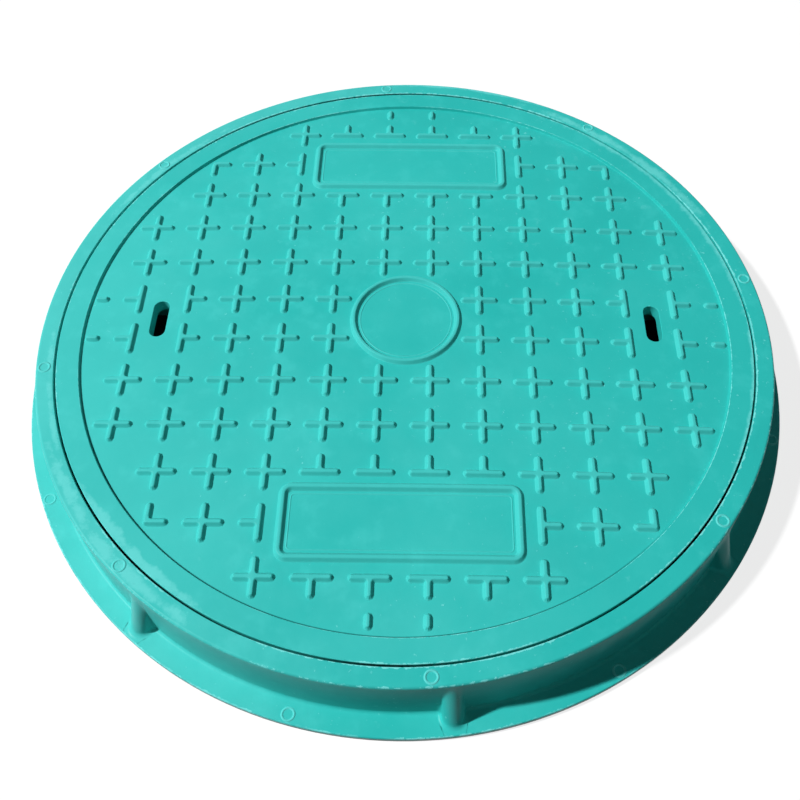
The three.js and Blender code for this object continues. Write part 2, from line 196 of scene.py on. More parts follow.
class TreadSizes(bpy.types.PropertyGroup):
    height: length("Height", "Height of the tread over the field", 4 * MM)
    pitch: length("Pitch", "Distance between the crosses", 53.5 * MM)
    arm_reach: length("Arm reach", "From a cross's middle to an arm's end, at half height", 19.7 * MM)
    arm_width: length("Arm width", "Width of an arm at its foot", 7.8 * MM)
    corner_fillet: length("Corner fillet", "Fillet in plan between two arms", 1.1 * MM)
    dash_length: length("Dash length", "Length of the dashes beside the border", 16 * MM)
    side_dash_inset: length("Side dash inset", "From the field's edge to a side dash", 11.25 * MM)
    end_dash_inset: length("End dash inset", "From the field's edge to an end dash", 13.925 * MM)
    edge_gap: length("Edge gap", "Least gap between an arm and the border", 5 * MM)
    ring_gap: length("Ring gap", "Least gap between an arm and the centre ring", 5 * MM)
    panel_gap: length("Panel gap", "Least gap between an arm and a bare panel", 8 * MM)
    slot_gap: length("Slot gap", "Least gap between an arm and a lifting slot", 8 * MM)
    ring_radius: length("Ring radius", "Outer radius of the centre ring", 59.5 * MM)
    ring_width: length("Ring width", "Width of the centre ring's ridge", 6 * MM)
    panel_length: length("Panel length", "Outer length of a bare panel's ridge", 234 * MM)
    panel_height: length("Panel height", "Outer height of a bare panel's ridge", 79 * MM)
    panel_ridge: length("Panel ridge", "Width of a bare panel's ridge", 7 * MM)
    panel_corner: length("Panel corner", "Outer corner radius of a bare panel's ridge", 12 * MM)
    panel_place: length("Panel place", "Distance of the bare panels from the middle", 239 * MM)
    seam_inset: length("Seam inset", "From a ridge's inner foot to a mould insert's seam", 3.2 * MM)
    seam_width: length("Seam width", "Width of that seam", 1.4 * MM)
    seam_height: length("Seam height", "Height of that seam", 0.4 * MM)


class CoverColours(bpy.types.PropertyGroup):
    # The resin's own teal, with its red part raised a little as a faint painted sheen
    resin: colour("Resin", "Main colour of the moulded resin", (0.029, 0.530, 0.492))
    resin_pale: colour("Pale resin", "Colour of the pale patches in the resin", (0.046, 0.585, 0.550))
    resin_deep: colour("Deep resin", "Colour of the deep patches in the resin", (0.024, 0.497, 0.462))
    # Used for real scuffs and wear, and also for the painted sheen and the painted highlight
    scuff_and_sheen: colour("Scuff and sheen", "Colour of scuffed and worn resin, and of the painted sheen and highlight", (0.22, 0.84, 0.82))
    # Colour of the painted shade in the lid's crease, and of the darker resin at the frame's foot
    crease_shade_and_foot: colour("Crease shade and foot", "Colour of the painted shade in the lid's crease and of the darker resin at the foot", (0.004, 0.09, 0.085))
    rubber: colour("Rubber", "Colour of the sealing ring", (0.018, 0.018, 0.02))
    steel: colour("Steel", "Colour of the mill scale on the bars", (0.11, 0.10, 0.095))
    rust: colour("Rust", "Colour of the rust bloom on the bars", (0.16, 0.07, 0.035))


class StageSettings(bpy.types.PropertyGroup):
    lamp_elevation: angle_in_degrees("Lamp elevation", "Height of the lamp", 52)
    lamp_turn: angle_in_degrees("Lamp turn", "Direction from which the lamp shines", 183)
    lamp_distance: length("Lamp distance", "From the cover to the lamp", 9.0)
    lamp_width: length("Lamp width", "Diameter of the lamp's face", 0.45)
    lamp_light: number("Lamp light", "Light that the lamp sheds on level ground", 0.88)
    sky_light: number("Sky light", "Strength of the even light from all round", 0.08)
    camera_place: point("Camera", "Place of the camera", (0.0227, -0.5859, 0.8400))
    camera_target: point("Target", "Point the camera looks at", (0.01867, -0.10513, 0.0791))
    lens: number("Lens", "Focal length in millimetres", 39.643, "DISTANCE_CAMERA")
    shift: number("Shift", "Sideways shift of the lens", -0.0274)
    roll: angle_in_degrees("Roll", "Tilt of the camera about its own line of sight", 0.207)


# Meshes from whole arrays


def whole_turn(count):
    """Angles of so many even steps round a circle."""
    return np.arange(count) * 2 * math.pi / count


def quarter_turn(steps):
    """Angles from 0 to a right angle in even steps."""
    return np.radians(np.linspace(0, 90, steps + 1))


def directions(angles):
    """The unit vector (cos a, sin a) of each angle a."""
    return np.column_stack([np.cos(angles), np.sin(angles)])


def arc(centre, radius, start, end, steps):
    """Points at centre + radius (cos a, sin a), for angles a in degrees from start to end."""
    return np.asarray(centre) + radius * directions(np.radians(np.linspace(start, end, steps + 1)))


def rounded(corners, steps):
    """The line through the corners (x, y, round), with an arc in place of each corner that has a round.

    With a and b the unit vectors to the two neighbours and h half the angle between them, the arc's
    centre lies on their bisector at round / sin h, and the arc starts and ends round / tan h away."""
    points = []
    for index, (x, y, radius) in enumerate(corners):
        here = np.array([x, y])
        if radius == 0:
            points.append(here[None])
            continue
        to_last = np.array(corners[index - 1][:2]) - here
        to_next = np.array(corners[index + 1][:2]) - here
        to_last /= np.linalg.norm(to_last)
        to_next /= np.linalg.norm(to_next)
        half = math.acos(np.clip(to_last @ to_next, -1, 1)) / 2
        bisector = (to_last + to_next) / np.linalg.norm(to_last + to_next)
        centre = here + bisector * radius / math.sin(half)
        start = here + to_last * radius / math.tan(half) - centre
        end = here + to_next * radius / math.tan(half) - centre
        sweep = math.pi - 2 * half
        share = np.linspace(0, 1, steps + 1)[:, None]
        turned = np.sin((1 - share) * sweep) * start + np.sin(share * sweep) * end
        points.append(centre + turned / math.sin(sweep))
    return np.concatenate(points)


def spun(profile, angles):
    """Carries each profile point (r, z) round the Z axis to (r cos a, r sin a, z), for all angles a."""
    radius = profile[:, :1]
    height = np.broadcast_to(profile[:, 1:], (len(profile), len(angles)))
    return np.stack([radius * np.cos(angles), radius * np.sin(angles), height], axis=-1)


def strip_faces(rows, columns, rows_close=False, first=0):
    """Quads between neighbouring rows of a grid of points whose columns close round."""
    row, column = np.meshgrid(np.arange(rows if rows_close else rows - 1), np.arange(columns), indexing="ij")
    below, above = row * columns, (row + 1) % rows * columns
    beside = (column + 1) % columns
    corners = [below + column, below + beside, above + beside, above + column]
    return np.stack(corners, axis=-1).reshape(-1, 4) + first


def fan_faces(ring, tip):
    """Triangles from each side of a ring of points to one tip."""
    return np.column_stack([ring, np.roll(ring, -1), np.full(len(ring), tip)])


def capped_faces(rows, columns, first=0):
    """Faces of a stack of closed outlines, and a fan at each end to its tip. The two tips' points follow
    the outlines'."""
    ring = first + np.arange(columns)
    tip = first + rows * columns
    return [
        strip_faces(rows, columns, first=first),
        fan_faces(ring, tip)[:, ::-1],
        fan_faces(ring + (rows - 1) * columns, tip + 1),
    ]


def six_volumes(points, face_sets):
    """Six times the volume inside closed faces: the sum of a . (b x c) over their triangles."""
    total = 0.0
    for faces in face_sets:
        for corner in range(1, faces.shape[1] - 1):
            a, b, c = points[faces[:, 0]], points[faces[:, corner]], points[faces[:, corner + 1]]
            total += np.einsum("ij,ij->", a, np.cross(b, c))
    return total


def mesh_object(name, points, face_sets):
    """A closed mesh from an array of points and arrays of faces, turned so that its faces point outwards."""
    points = points.reshape(-1, 3)
    if six_volumes(points, face_sets) < 0:
        face_sets = [faces[:, ::-1] for faces in face_sets]
    mesh = bpy.data.meshes.new(name)
    mesh.vertices.add(len(points))
    mesh.vertices.foreach_set("co", points.astype(np.float32).ravel())
    corners = np.concatenate([faces.ravel() for faces in face_sets])
    sizes = np.concatenate([np.full(len(faces), faces.shape[1]) for faces in face_sets])
    mesh.loops.add(len(corners))
    mesh.loops.foreach_set("vertex_index", corners.astype(np.int32))
    mesh.polygons.add(len(sizes))
    mesh.polygons.foreach_set("loop_start", (np.cumsum(sizes) - sizes).astype(np.int32))
    mesh.update(calc_edges=True)
    if mesh.validate():
        raise RuntimeError(f"{name} has faces that Blender had to mend")
    made = bpy.data.objects.new(name, mesh)
    bpy.context.scene.collection.objects.link(made)
    return made


def cut(piece, cutters):
    """Cuts the cutters out of a piece, and removes them."""
    for cutter in cutters:
        modifier = piece.modifiers.new("cut", "BOOLEAN")
        modifier.operation = "DIFFERENCE"
        modifier.solver = "MANIFOLD"
        modifier.object = cutter
    bpy.context.view_layer.update()
    shaped = piece.evaluated_get(bpy.context.evaluated_depsgraph_get())
    mesh = bpy.data.meshes.new_from_object(shaped)
    piece.modifiers.clear()
    if len(mesh.polygons) <= len(piece.data.polygons):
        raise RuntimeError(f"the cuts in {piece.name} failed")
    piece.data = mesh
    for cutter in cutters:
        bpy.data.objects.remove(cutter)


def finish_piece(piece, body, material, replaced=()):
    """Smooth shading with crisp edges, the material, and what the piece rides on and stands for."""
    piece.data.shade_smooth()
    piece.data.set_sharp_from_angle(angle=CRISP_ANGLE)
    even_shading = piece.modifiers.new("even shading", "WEIGHTED_NORMAL")
    even_shading.keep_sharp = True
    piece.data.materials.clear()
    piece.data.materials.append(material)
    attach(piece, body)
    for name in replaced:
        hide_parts(name)


# Frame


def buttress_outline(buttress, radius, spread, nose, wall_columns=13, fillet_steps=4, nose_steps=7):
    """Half an outline of the wall at one level, from between two buttresses to a buttress's nose.

    The wall is an arc of the given radius. The buttress has straight sides and a half-round nose, and a
    fillet joins it to the wall. Both are spread outwards by one distance. A nose drawn back to the wall
    runs out into it: x is the soft greater ((a + b) + sqrt((a - b) squared + blend squared)) / 2 of the
    wall's and the nose's."""
    half_width = buttress.width / 2 + spread
    fillet_radius = buttress.root_fillet - spread
    nose_centre = nose - buttress.width / 2
    root_y = half_width + fillet_radius
    root_angle = math.degrees(math.asin(root_y / radius))
    wall = arc((0, 0), radius, 180 / buttress.count, root_angle, wall_columns - 1)
    side_length = max(nose_centre - math.sqrt(radius**2 - half_width**2), 0)
    turn = quarter_turn(fillet_steps)[1:]
    fillet_y = half_width + fillet_radius * (1 - np.sin(turn))
    drawn_in = min(side_length, fillet_radius) * (1 - np.cos(turn))
    fillet = np.column_stack([np.sqrt(radius**2 - fillet_y**2) + drawn_in, fillet_y])
    turn = np.radians(np.linspace(90, 0, nose_steps + 1))
    nose_y = half_width * np.sin(turn)
    wall_x = np.sqrt(radius**2 - nose_y**2)
    nose_x = nose_centre + half_width * np.cos(turn)
    apart = np.sqrt((wall_x - nose_x) ** 2 + buttress.crest_blend**2)
    return np.concatenate([wall, fillet, np.column_stack([(wall_x + nose_x + apart) / 2, nose_y])])


def round_the_frame(half_outline, count, turn):
    """A half outline, mirrored at its nose and repeated anticlockwise round the Z axis."""
    sector = np.concatenate([half_outline * (1, -1), half_outline[-2:0:-1]])
    angle = turn + whole_turn(count)
    cosine, sine = np.cos(angle)[:, None], np.sin(angle)[:, None]
    x, y = sector[:, 0], sector[:, 1]
    return np.stack([x * cosine - y * sine, x * sine + y * cosine], axis=-1).reshape(-1, 2)


def outer_levels(sizes, buttress, wall_levels=18):
    """(radius, height, spread, nose) of each level of the frame's outside, from the ground to the rim.

    The buttresses' noses lean in as they rise, from the flange to where they run out into the wall. A
    level without buttresses has its noses at the frame's middle."""
    top = sizes.height - buttress.top_drop
    wall_top = sizes.height - sizes.rim_round
    wall_foot = sizes.flange_thickness + sizes.wall_foot_fillet

    def wall_radius(height):
        lean = (height - wall_foot) / (wall_top - wall_foot)
        return sizes.wall_foot_radius + lean * (sizes.rim_radius - sizes.wall_foot_radius)

    levels = [(radius, height, 0, 0) for radius, height in rounded([
        (sizes.throat_radius, 0, 0),
        (sizes.flange_radius, 0, sizes.foot_round),
        (sizes.flange_radius, sizes.flange_thickness, sizes.flange_round),
        (sizes.throat_radius, sizes.flange_thickness, 0),
    ], steps=4)[1:-1]]
    nose_foot = sizes.wall_foot_radius + buttress.reach
    lean = (nose_foot - sizes.rim_radius) / (top - sizes.flange_thickness)
    for quarter in quarter_turn(4):
        spread = sizes.wall_foot_fillet * (1 - math.sin(quarter))
        height = sizes.flange_thickness + sizes.wall_foot_fillet * (1 - math.cos(quarter))
        nose = nose_foot - lean * (height - sizes.flange_thickness)
        levels.append((sizes.wall_foot_radius + spread, height, spread, nose))
    for height in np.linspace(wall_foot, wall_top, wall_levels)[1:-1]:
        nose = nose_foot - lean * (height - sizes.flange_thickness)
        levels.append((wall_radius(height), height, 0, nose))
    for quarter in quarter_turn(4):
        radius = sizes.rim_radius - sizes.rim_round * (1 - math.cos(quarter))
        levels.append((radius, wall_top + sizes.rim_round * math.sin(quarter), 0, 0))
    return levels


def inner_levels(sizes):
    """(radius, height, share of the hollows' depth) of each level of the frame's inside, from the rim
    down the recess, over the seat, down the throat and through the hollows under the seat."""
    inside = rounded([
        (sizes.rim_radius, sizes.height, 0),
        (sizes.recess_radius, sizes.height, sizes.recess_round),
        (sizes.recess_radius, sizes.seat_level, sizes.seat_fillet),
        (sizes.throat_radius, sizes.seat_level, sizes.recess_round),
        (sizes.throat_radius, 0, sizes.foot_round),
        (sizes.rim_radius, 0, 0),
    ], steps=3)[1:-1]
    levels = [(radius, height, 0) for radius, height in inside]
    depth = sizes.seat_level - sizes.pocket_ceiling
    start = sizes.throat_radius + sizes.throat_wall
    end = start + sizes.pocket_width
    draft = sizes.foot_round
    ceiling_round = 2 * sizes.wall_foot_fillet / 3
    hollow = rounded([
        (start, 0, 0),
        (start + draft, depth, ceiling_round),
        (end - draft, depth, ceiling_round),
        (end, 0, 0),
    ], steps=3)
    levels += [(radius, 0, height) for radius, height in hollow]
    return levels


def inner_angles(sizes, buttress, webs_per_buttress=4, steps=5):
    """Angles of the columns inside the frame, and 1 in a hollow or 0 on a web, for the whole round."""
    middle = sizes.throat_radius + sizes.throat_wall + sizes.pocket_width / 2
    period = 360 / buttress.count / webs_per_buttress
    edge = math.degrees(sizes.web_thickness / 2 / middle)
    draft = math.degrees(sizes.foot_round / middle)
    hollow = np.linspace(edge + draft, period / 2, steps)
    half = np.concatenate([[0, edge], hollow])
    open_half = np.concatenate([[0, 0], np.ones(steps)])
    angles = np.concatenate([half, (period - half)[-2:0:-1]])
    hollows = np.concatenate([open_half, open_half[-2:0:-1]])
    count = buttress.count * webs_per_buttress
    start = np.arange(count)[:, None] * period - 180 / buttress.count
    whole = np.radians(start + angles).reshape(-1) + sizes.turn
    return whole, np.tile(hollows, count)


def pin_holes(name, places, radius, low, high, sides=16):
    """Upright round holes as one cutter: a ring of points at each end of each, with a fan on each."""
    ring = radius * directions(whole_turn(sides))
    points, face_sets = [], []
    for index, place in enumerate(places):
        around = ring + place
        for height in (low, high):
            points.append(np.column_stack([around, np.full(sides, height)]))
        points.append(np.array([[*place, low], [*place, high]]))
        face_sets += capped_faces(2, sides, first=index * (2 * sides + 2))
    return mesh_object(name, np.concatenate(points), face_sets)


def bands_round(radius, rubbed_and_highlit, outwards):
    """Rubbed bands, with the radius of each in place of how far out or in from the given one it lies."""
    return [(degrees, span, radius + outwards * away, width) for degrees, span, away, width in rubbed_and_highlit]


class COVER_OT_frame(bpy.types.Operator):
    """Builds the frame: flange, wall, buttresses, rim, recess, seat, throat and the hollows under the seat"""

    bl_idname = "cover.frame"
    bl_label = "Frame"

    def execute(self, context):
        sizes, buttress = context.scene.cover_frame, context.scene.cover_buttress
        rows = []
        for radius, height, spread, nose in outer_levels(sizes, buttress):
            half = buttress_outline(buttress, radius, spread, nose)
            around = round_the_frame(half, buttress.count, sizes.turn)
            rows.append(np.column_stack([around, np.full(len(around), height)]))
        angles, hollows = inner_angles(sizes, buttress)
        for radius, height, depth in inner_levels(sizes):
            rows.append(np.column_stack([radius * directions(angles), height + depth * hollows]))
        points = np.stack(rows)
        piece = mesh_object("frame_moulding", points, [strip_faces(*points.shape[:2], rows_close=True)])
        rim_middle = (sizes.recess_radius + sizes.rim_radius) / 2
        hoop_radii = (rim_middle, sizes.throat_radius + sizes.throat_wall / 2)
        diagonals = sizes.turn + np.radians([45, 135, 225, 315])
        places = [radius * np.array([math.cos(a), math.sin(a)]) for radius in hoop_radii for a in diagonals]
        low, high = -sizes.flange_thickness, sizes.seat_level / 2
        cut(piece, [pin_holes("holes", places, sizes.pin_hole_radius, low, high)])
        edges = (
            (sizes.rim_radius, sizes.height, CHIP_REACH),
            (sizes.recess_radius, sizes.height, CHIP_REACH),
            (sizes.flange_radius, sizes.flange_thickness, CHIP_REACH),
        )
        # The frame's resin gets a painted sheen, paler toward the lamp, and is darker below the flange's
        # round
        material = resin_material(
            "frame resin", context.scene.cover_colours, FRAME_SEED, FRAME_SHEEN, edges=edges,
            bands=bands_round(sizes.recess_radius, RUBBED_RIM, 1),
            darker_below=sizes.flange_thickness - sizes.flange_round,
        )
        finish_piece(piece, "frame", material, ["frame"])
        return {"FINISHED"}


# How far a ridge's side has drawn in, as a share of the half width, and how high it is there
RIDGE_SHARES = (
    (-0.30, -0.14),
    (-0.16, 0.0),
    (-0.02, 0.09),
    (0.12, 0.27),
    (0.42, 0.72),
    (0.56, 0.90),
    (0.70, 0.98),
    (0.86, 1.0),
)


def ridge_section(half_width, height):
    """Section of a moulded ridge, as (distance from its middle, height): flared foot, drafted side and
    rounded top, from shares of the half width and the height. It closes below the ground."""
    side = np.array(RIDGE_SHARES) * (half_width, height)
    outside = np.column_stack([half_width - side[:, 0], side[:, 1]])
    return np.concatenate([outside, (outside * (-1, 1))[::-1]])


class COVER_OT_marks(bpy.types.Operator):
    """Builds the raised rings that the ejector pins left on the frame's rim and flange"""

    bl_idname = "cover.marks"
    bl_label = "Ejector marks"

    def execute(self, context):
        sizes = context.scene.cover_frame
        rim_middle = (sizes.recess_radius + sizes.rim_radius) / 2
        flange_width = sizes.flange_radius - sizes.wall_foot_radius
        flange_middle = sizes.flange_radius - flange_width * FLANGE_MARK_SHARE
        section = ridge_section(sizes.mark_width / 2, sizes.mark_height)
        section[:, 0] += sizes.mark_radius - sizes.mark_width / 2
        columns = 28
        ring = spun(section, whole_turn(columns))
        points, face_sets = [], []
        for degrees, radius, level in (
            *((degrees, rim_middle, sizes.height) for degrees in RIM_MARKS),
            *((degrees, flange_middle, sizes.flange_thickness) for degrees in FLANGE_MARKS),
        ):
            angle = math.radians(degrees)
            first = len(points) * len(section) * columns
            points.append(ring + (radius * math.cos(angle), radius * math.sin(angle), level))
            face_sets.append(strip_faces(len(section), columns, True, first))
        piece = mesh_object("frame_ejector_marks", np.stack(points), face_sets)
        colours = context.scene.cover_colours
        material = resin_material("mark resin", colours, FRAME_SEED, FRAME_SHEEN, rubbed_and_highlit=MARKS_RUBBED)
        finish_piece(piece, "frame", material)
        return {"FINISHED"}


# Sealing ring


class COVER_OT_seal(bpy.types.Operator):
    """Builds the sealing ring that lies on the frame's seat"""

    bl_idname = "cover.seal"
    bl_label = "Sealing ring"

    def execute(self, context):
        width = 20 * MM
        outer = SEAL_HIGH.x
        inner = outer - width
        corner = 0.9 * MM
        groove = width / 5
        groove_depth = 0.5 * MM
        groove_round = 0.3 * MM
        top, foot = SEAL_HIGH.z, SEAL_LOW.z
        middle = (inner + outer) / 2
        corners = [
            (middle, foot, 0),
            (outer, foot, corner),
            (outer, top, corner),
            (middle + 1.5 * groove, top, groove_round),
            (middle + groove, top - groove_depth, groove_round),
            (middle + groove / 2, top, groove_round),
            (middle - groove / 2, top, groove_round),
            (middle - groove, top - groove_depth, groove_round),
            (middle - 1.5 * groove, top, groove_round),
            (inner, top, corner),
            (inner, foot, corner),
            (middle, foot, 0),
        ]
        columns = 256
        points = spun(rounded(corners, steps=3)[:-1], whole_turn(columns))
        piece = mesh_object("seal_moulding", points, [strip_faces(*points.shape[:2], rows_close=True)])
        material = rubber_material("rubber", context.scene.cover_colours)
        finish_piece(piece, "seal_ring", material, ["seal_ring"])
        return {"FINISHED"}


# Lid


def field_level(lid, tread, radius):
    """Height of the lid's surface between the crosses: crown - tread - drop (r / R) squared."""
    return lid.crown_level - tread.height - lid.dome_drop * (radius / lid.radius) ** 2


def lid_blank(lid, tread, columns=288, dome_rows=14):
    """The lid without its hollows: one profile spun about the Z axis, with a tip at each end."""
    field_radius = lid.radius - lid.border_width
    edge_level = field_level(lid, tread, field_radius)
    radius = np.linspace(0, field_radius - 2 * lid.step_fillet, dome_rows + 1)[1:]
    dome = np.column_stack([radius, field_level(lid, tread, radius)])
    border = rounded([
        (*dome[-1], 0),
        (field_radius, edge_level, lid.step_fillet),
        (field_radius + lid.step_draft, lid.border_level, lid.step_round),
        (lid.radius, lid.border_level, lid.edge_round),
        (lid.radius - lid.side_draft, LID_LOW.z, lid.edge_round),
        (0, LID_LOW.z, 0),
    ], steps=4)[1:-1]
    rows = spun(np.concatenate([dome, border]), whole_turn(columns))
    tips = np.array([[0, 0, field_level(lid, tread, 0)], [0, 0, LID_LOW.z]])
    points = np.concatenate([rows.reshape(-1, 3), tips])
    return mesh_object("lid_moulding", points, capped_faces(len(rows), columns))


def rib_places(lid):
    """Distances of the ribs from the lid's centre line, and the pitch between them."""
    pitch = 2 * (lid.radius - lid.skirt_thickness - lid.rib_edge_inset) / (lid.rib_count - 1)
    return (np.arange(lid.rib_count) - (lid.rib_count - 1) / 2) * pitch, pitch


def hollow_reach(low, high, centre, cell_radius, inset, angle, power=14):
    """Distance from a hollow's centre to its wall in each direction.

    The walls are four ribs and the skirt's round inside, all moved inwards by the inset. The distances
    to them along the direction are joined as (sum of t to the -p) to the -1/p, which rounds the corners."""
    cosine, sine = np.cos(angle), np.sin(angle)
    along_x = np.where(cosine > 0, high[0] - inset - centre[0], centre[0] - low[0] - inset)
    along_y = np.where(sine > 0, high[1] - inset - centre[1], centre[1] - low[1] - inset)
    forward = centre[0] * cosine + centre[1] * sine
    left = (cell_radius - inset) ** 2 - centre[0] ** 2 - centre[1] ** 2
    to_skirt = np.sqrt(forward**2 + left) - forward
    inverse = (np.abs(cosine) / along_x) ** power + (np.abs(sine) / along_y) ** power + to_skirt**-power
    return inverse ** (-1 / power)


def hollow_cells(lid, samples=40):
    """(low corner, high corner, centre) of each hollow between the ribs that is wide enough to mould."""
    ribs, pitch = rib_places(lid)
    half = lid.rib_thickness / 2
    cell_radius = lid.radius - lid.skirt_thickness
    starts = np.append(ribs[0] - pitch, ribs) + half
    ends = np.append(ribs, ribs[-1] + pitch) - half
    share = (np.arange(samples) + 0.5) / samples
    cells = []
    for low_x, high_x in zip(starts, ends):
        for low_y, high_y in zip(starts, ends):
            x, y = np.meshgrid(low_x + share * (high_x - low_x), low_y + share * (high_y - low_y))
            inside = np.hypot(x, y) < cell_radius
            area = inside.mean() * (high_x - low_x) * (high_y - low_y)
            if area > lid.rib_thickness**2:
                centre = np.array([x[inside].mean(), y[inside].mean()])
                cells.append((np.array([low_x, low_y]), np.array([high_x, high_y]), centre))
    return cells


def hollow_cutter(lid, tread, columns=48, crowding=0.65):
    """All the hollows under the lid as one cutter. Each is a stack of outlines: flared at the mouth,
    drafted, and drawn in over the fillet, where inset = f (1 - cos q) as the height goes up by f sin q.

    Its columns crowd towards the four corners. The mouth lies a hair below the lid's foot, for a clean
    cut."""
    even = whole_turn(columns)
    angle = even + crowding / 4 * np.sin(4 * even)
    cell_radius = lid.radius - lid.skirt_thickness
    foot = LID_LOW.z
    ceiling = field_level(lid, tread, lid.radius - lid.border_width) - lid.plate_thickness
    levels = [(-2 * lid.rib_round, foot - lid.rib_round)]
    for quarter in quarter_turn(3):
        levels.append((
            -lid.rib_draft - lid.rib_round * (1 - math.sin(quarter)),
            foot + lid.rib_round * (1 - math.cos(quarter)),
        ))
    levels[1] = (levels[1][0], foot - 0.01 * lid.rib_round)
    for quarter in quarter_turn(5):
        levels.append((
            lid.rib_fillet * (1 - math.cos(quarter)),
            ceiling - lid.rib_fillet * (1 - math.sin(quarter)),
        ))
    points, face_sets = [], []
    per_cell = len(levels) * columns + 2
    for index, (low, high, centre) in enumerate(hollow_cells(lid)):
        for inset, height in levels:
            reach = hollow_reach(low, high, centre, cell_radius, inset, angle)
            x, y = centre[0] + reach * np.cos(angle), centre[1] + reach * np.sin(angle)
            points.append(np.column_stack([x, y, np.full(columns, height)]))
        points.append(np.array([[*centre, levels[0][1]], [*centre, ceiling]]))
        face_sets += capped_faces(len(levels), columns, first=index * per_cell)
    return mesh_object("hollows", np.concatenate(points), face_sets)


def slot_cutter(lid, tread, side, end_steps=10):
    """A lifting slot: upright sides, flared at the top edge as spread = f (1 - cos q), f sin q up. The
    last two levels carry the flare on past the field, for a clean cut."""
    straight = (lid.slot_length - lid.slot_width) / 2
    radius = lid.slot_width / 2
    x_middle = side * lid.slot_place
    levels = [(0, -lid.plate_thickness * 2)]
    for quarter in quarter_turn(4):
        levels.append((lid.slot_flare * (1 - math.cos(quarter)), -lid.slot_flare * (1 - math.sin(quarter))))
    levels[-1] = (lid.slot_flare * 1.2, levels[-1][1] + lid.slot_flare * 0.1)
    levels.append((lid.slot_flare * 2, lid.slot_flare))
    rows = []
    for spread, height in levels:
        outline = np.concatenate([
            arc((x_middle, straight), radius + spread, 0, 180, end_steps),
            arc((x_middle, -straight), radius + spread, 180, 360, end_steps),
        ])
        level = field_level(lid, tread, np.hypot(*outline.T)) + height
        rows.append(np.column_stack([outline, level]))
    points = np.stack(rows)
    tips = np.array([[x_middle, 0, points[end, :, 2].mean()] for end in (0, -1)])
    face_sets = capped_faces(*points.shape[:2])
    return mesh_object("slot", np.concatenate([points.reshape(-1, 3), tips]), face_sets)


class COVER_OT_lid(bpy.types.Operator):
    """Builds the lid: domed field, raised border, skirt, ribs and lifting slots"""

    bl_idname = "cover.lid"
    bl_label = "Lid"

    def execute(self, context):
        lid, tread = context.scene.cover_lid, context.scene.cover_tread
        piece = lid_blank(lid, tread)
        ribs, pitch = rib_places(lid)
        places = [np.array([side * pitch, offset]) for offset in ribs for side in (-1, 1)]
        low, high = LID_LOW.z - lid.rib_round, LID_LOW.z + PIN_HOLE_DEPTH
        cutters = [
            hollow_cutter(lid, tread),
            slot_cutter(lid, tread, -1),
            slot_cutter(lid, tread, 1),
            pin_holes("holes", places, context.scene.cover_frame.pin_hole_radius, low, high),
        ]
        cut(piece, cutters)
        edges = (
            (lid.radius, lid.border_level, CHIP_REACH),
            # The step's top edge gets pale chips that partly stand for a painted highlight
            (lid.radius - lid.border_width + lid.step_draft, lid.border_level, STEP_CHIP_AND_HIGHLIGHT_REACH),
        )
        # The lid's resin gets a painted sheen, paler toward the lamp, and painted shade in the crease at the
        # step's foot
        material = resin_material(
            "lid resin", context.scene.cover_colours, LID_SEED, LID_SHEEN, edges=edges,
            bands=bands_round(lid.radius, RUBBED_BORDER, -1),
            crease=(lid.radius - lid.border_width, CREASE_SIDE),
        )
        finish_piece(piece, "lid", material, ["lid"])
        return {"FINISHED"}


# Tread


def cross_outline(arms, half_width, reach, fillet, end_steps=4, corner_steps=2):
    """Plan of a cross with the given arms, walked anticlockwise: a half-round end on each arm, a fillet
    between two arms, and a round corner between two missing ones."""
    parts = []
    for index, (x, y) in enumerate(ARMS):
        turn = 90 * index
        if arms[index]:
            end = np.array([x, y]) * (reach - half_width)
            parts.append(arc(end, half_width, turn - 90, turn + 90, end_steps))
        following = (index + 1) % len(ARMS)
        if arms[index] and arms[following]:
            corner = np.array([x + ARMS[following][0], y + ARMS[following][1]]) * (half_width + fillet)
            parts.append(arc(corner, fillet, turn + 270, turn + 180, corner_steps))
        elif not arms[index] and not arms[following]:
            parts.append(arc((0, 0), half_width, turn, turn + 90, corner_steps))
    return np.concatenate(parts)


def cross_places(lid, tread):
    """Middles of the crosses, sorted by which arms they keep.

    They stand at odd half pitches. A cross has its middle on the field, and keeps each arm whose end is
    clear of the border, the centre ring, the bare panels and the lifting slots."""
    field_radius = lid.radius - lid.border_width
    steps = np.arange(0.5, field_radius / tread.pitch) * tread.pitch
    x, y = np.meshgrid(steps, steps)
    kept = []
    for arm_x, arm_y in ARMS:
        end_x, end_y = x + arm_x * tread.arm_reach, y + arm_y * tread.arm_reach
        radius = np.hypot(end_x, end_y)
        past_panel = np.hypot(
            np.maximum(end_x - tread.panel_length / 2, 0),
            np.maximum(np.abs(end_y - tread.panel_place) - tread.panel_height / 2, 0),
        )
        past_slot_end = np.maximum(end_y - (lid.slot_length - lid.slot_width) / 2, 0)
        past_slot = np.hypot(end_x - lid.slot_place, past_slot_end) - lid.slot_width / 2
        kept.append(
            (field_radius - radius > tread.edge_gap)
            & (radius - tread.ring_radius > tread.ring_gap)
            & (past_panel > tread.panel_gap)
            & (past_slot > tread.slot_gap)
        )
    on_field = field_radius - np.hypot(x, y) > tread.edge_gap
    places = {}
    for index in zip(*np.nonzero(on_field & np.any(kept, axis=0))):
        arms = tuple(bool(arm[index]) for arm in kept)
        places.setdefault(arms, []).append((x[index], y[index]))
    return places


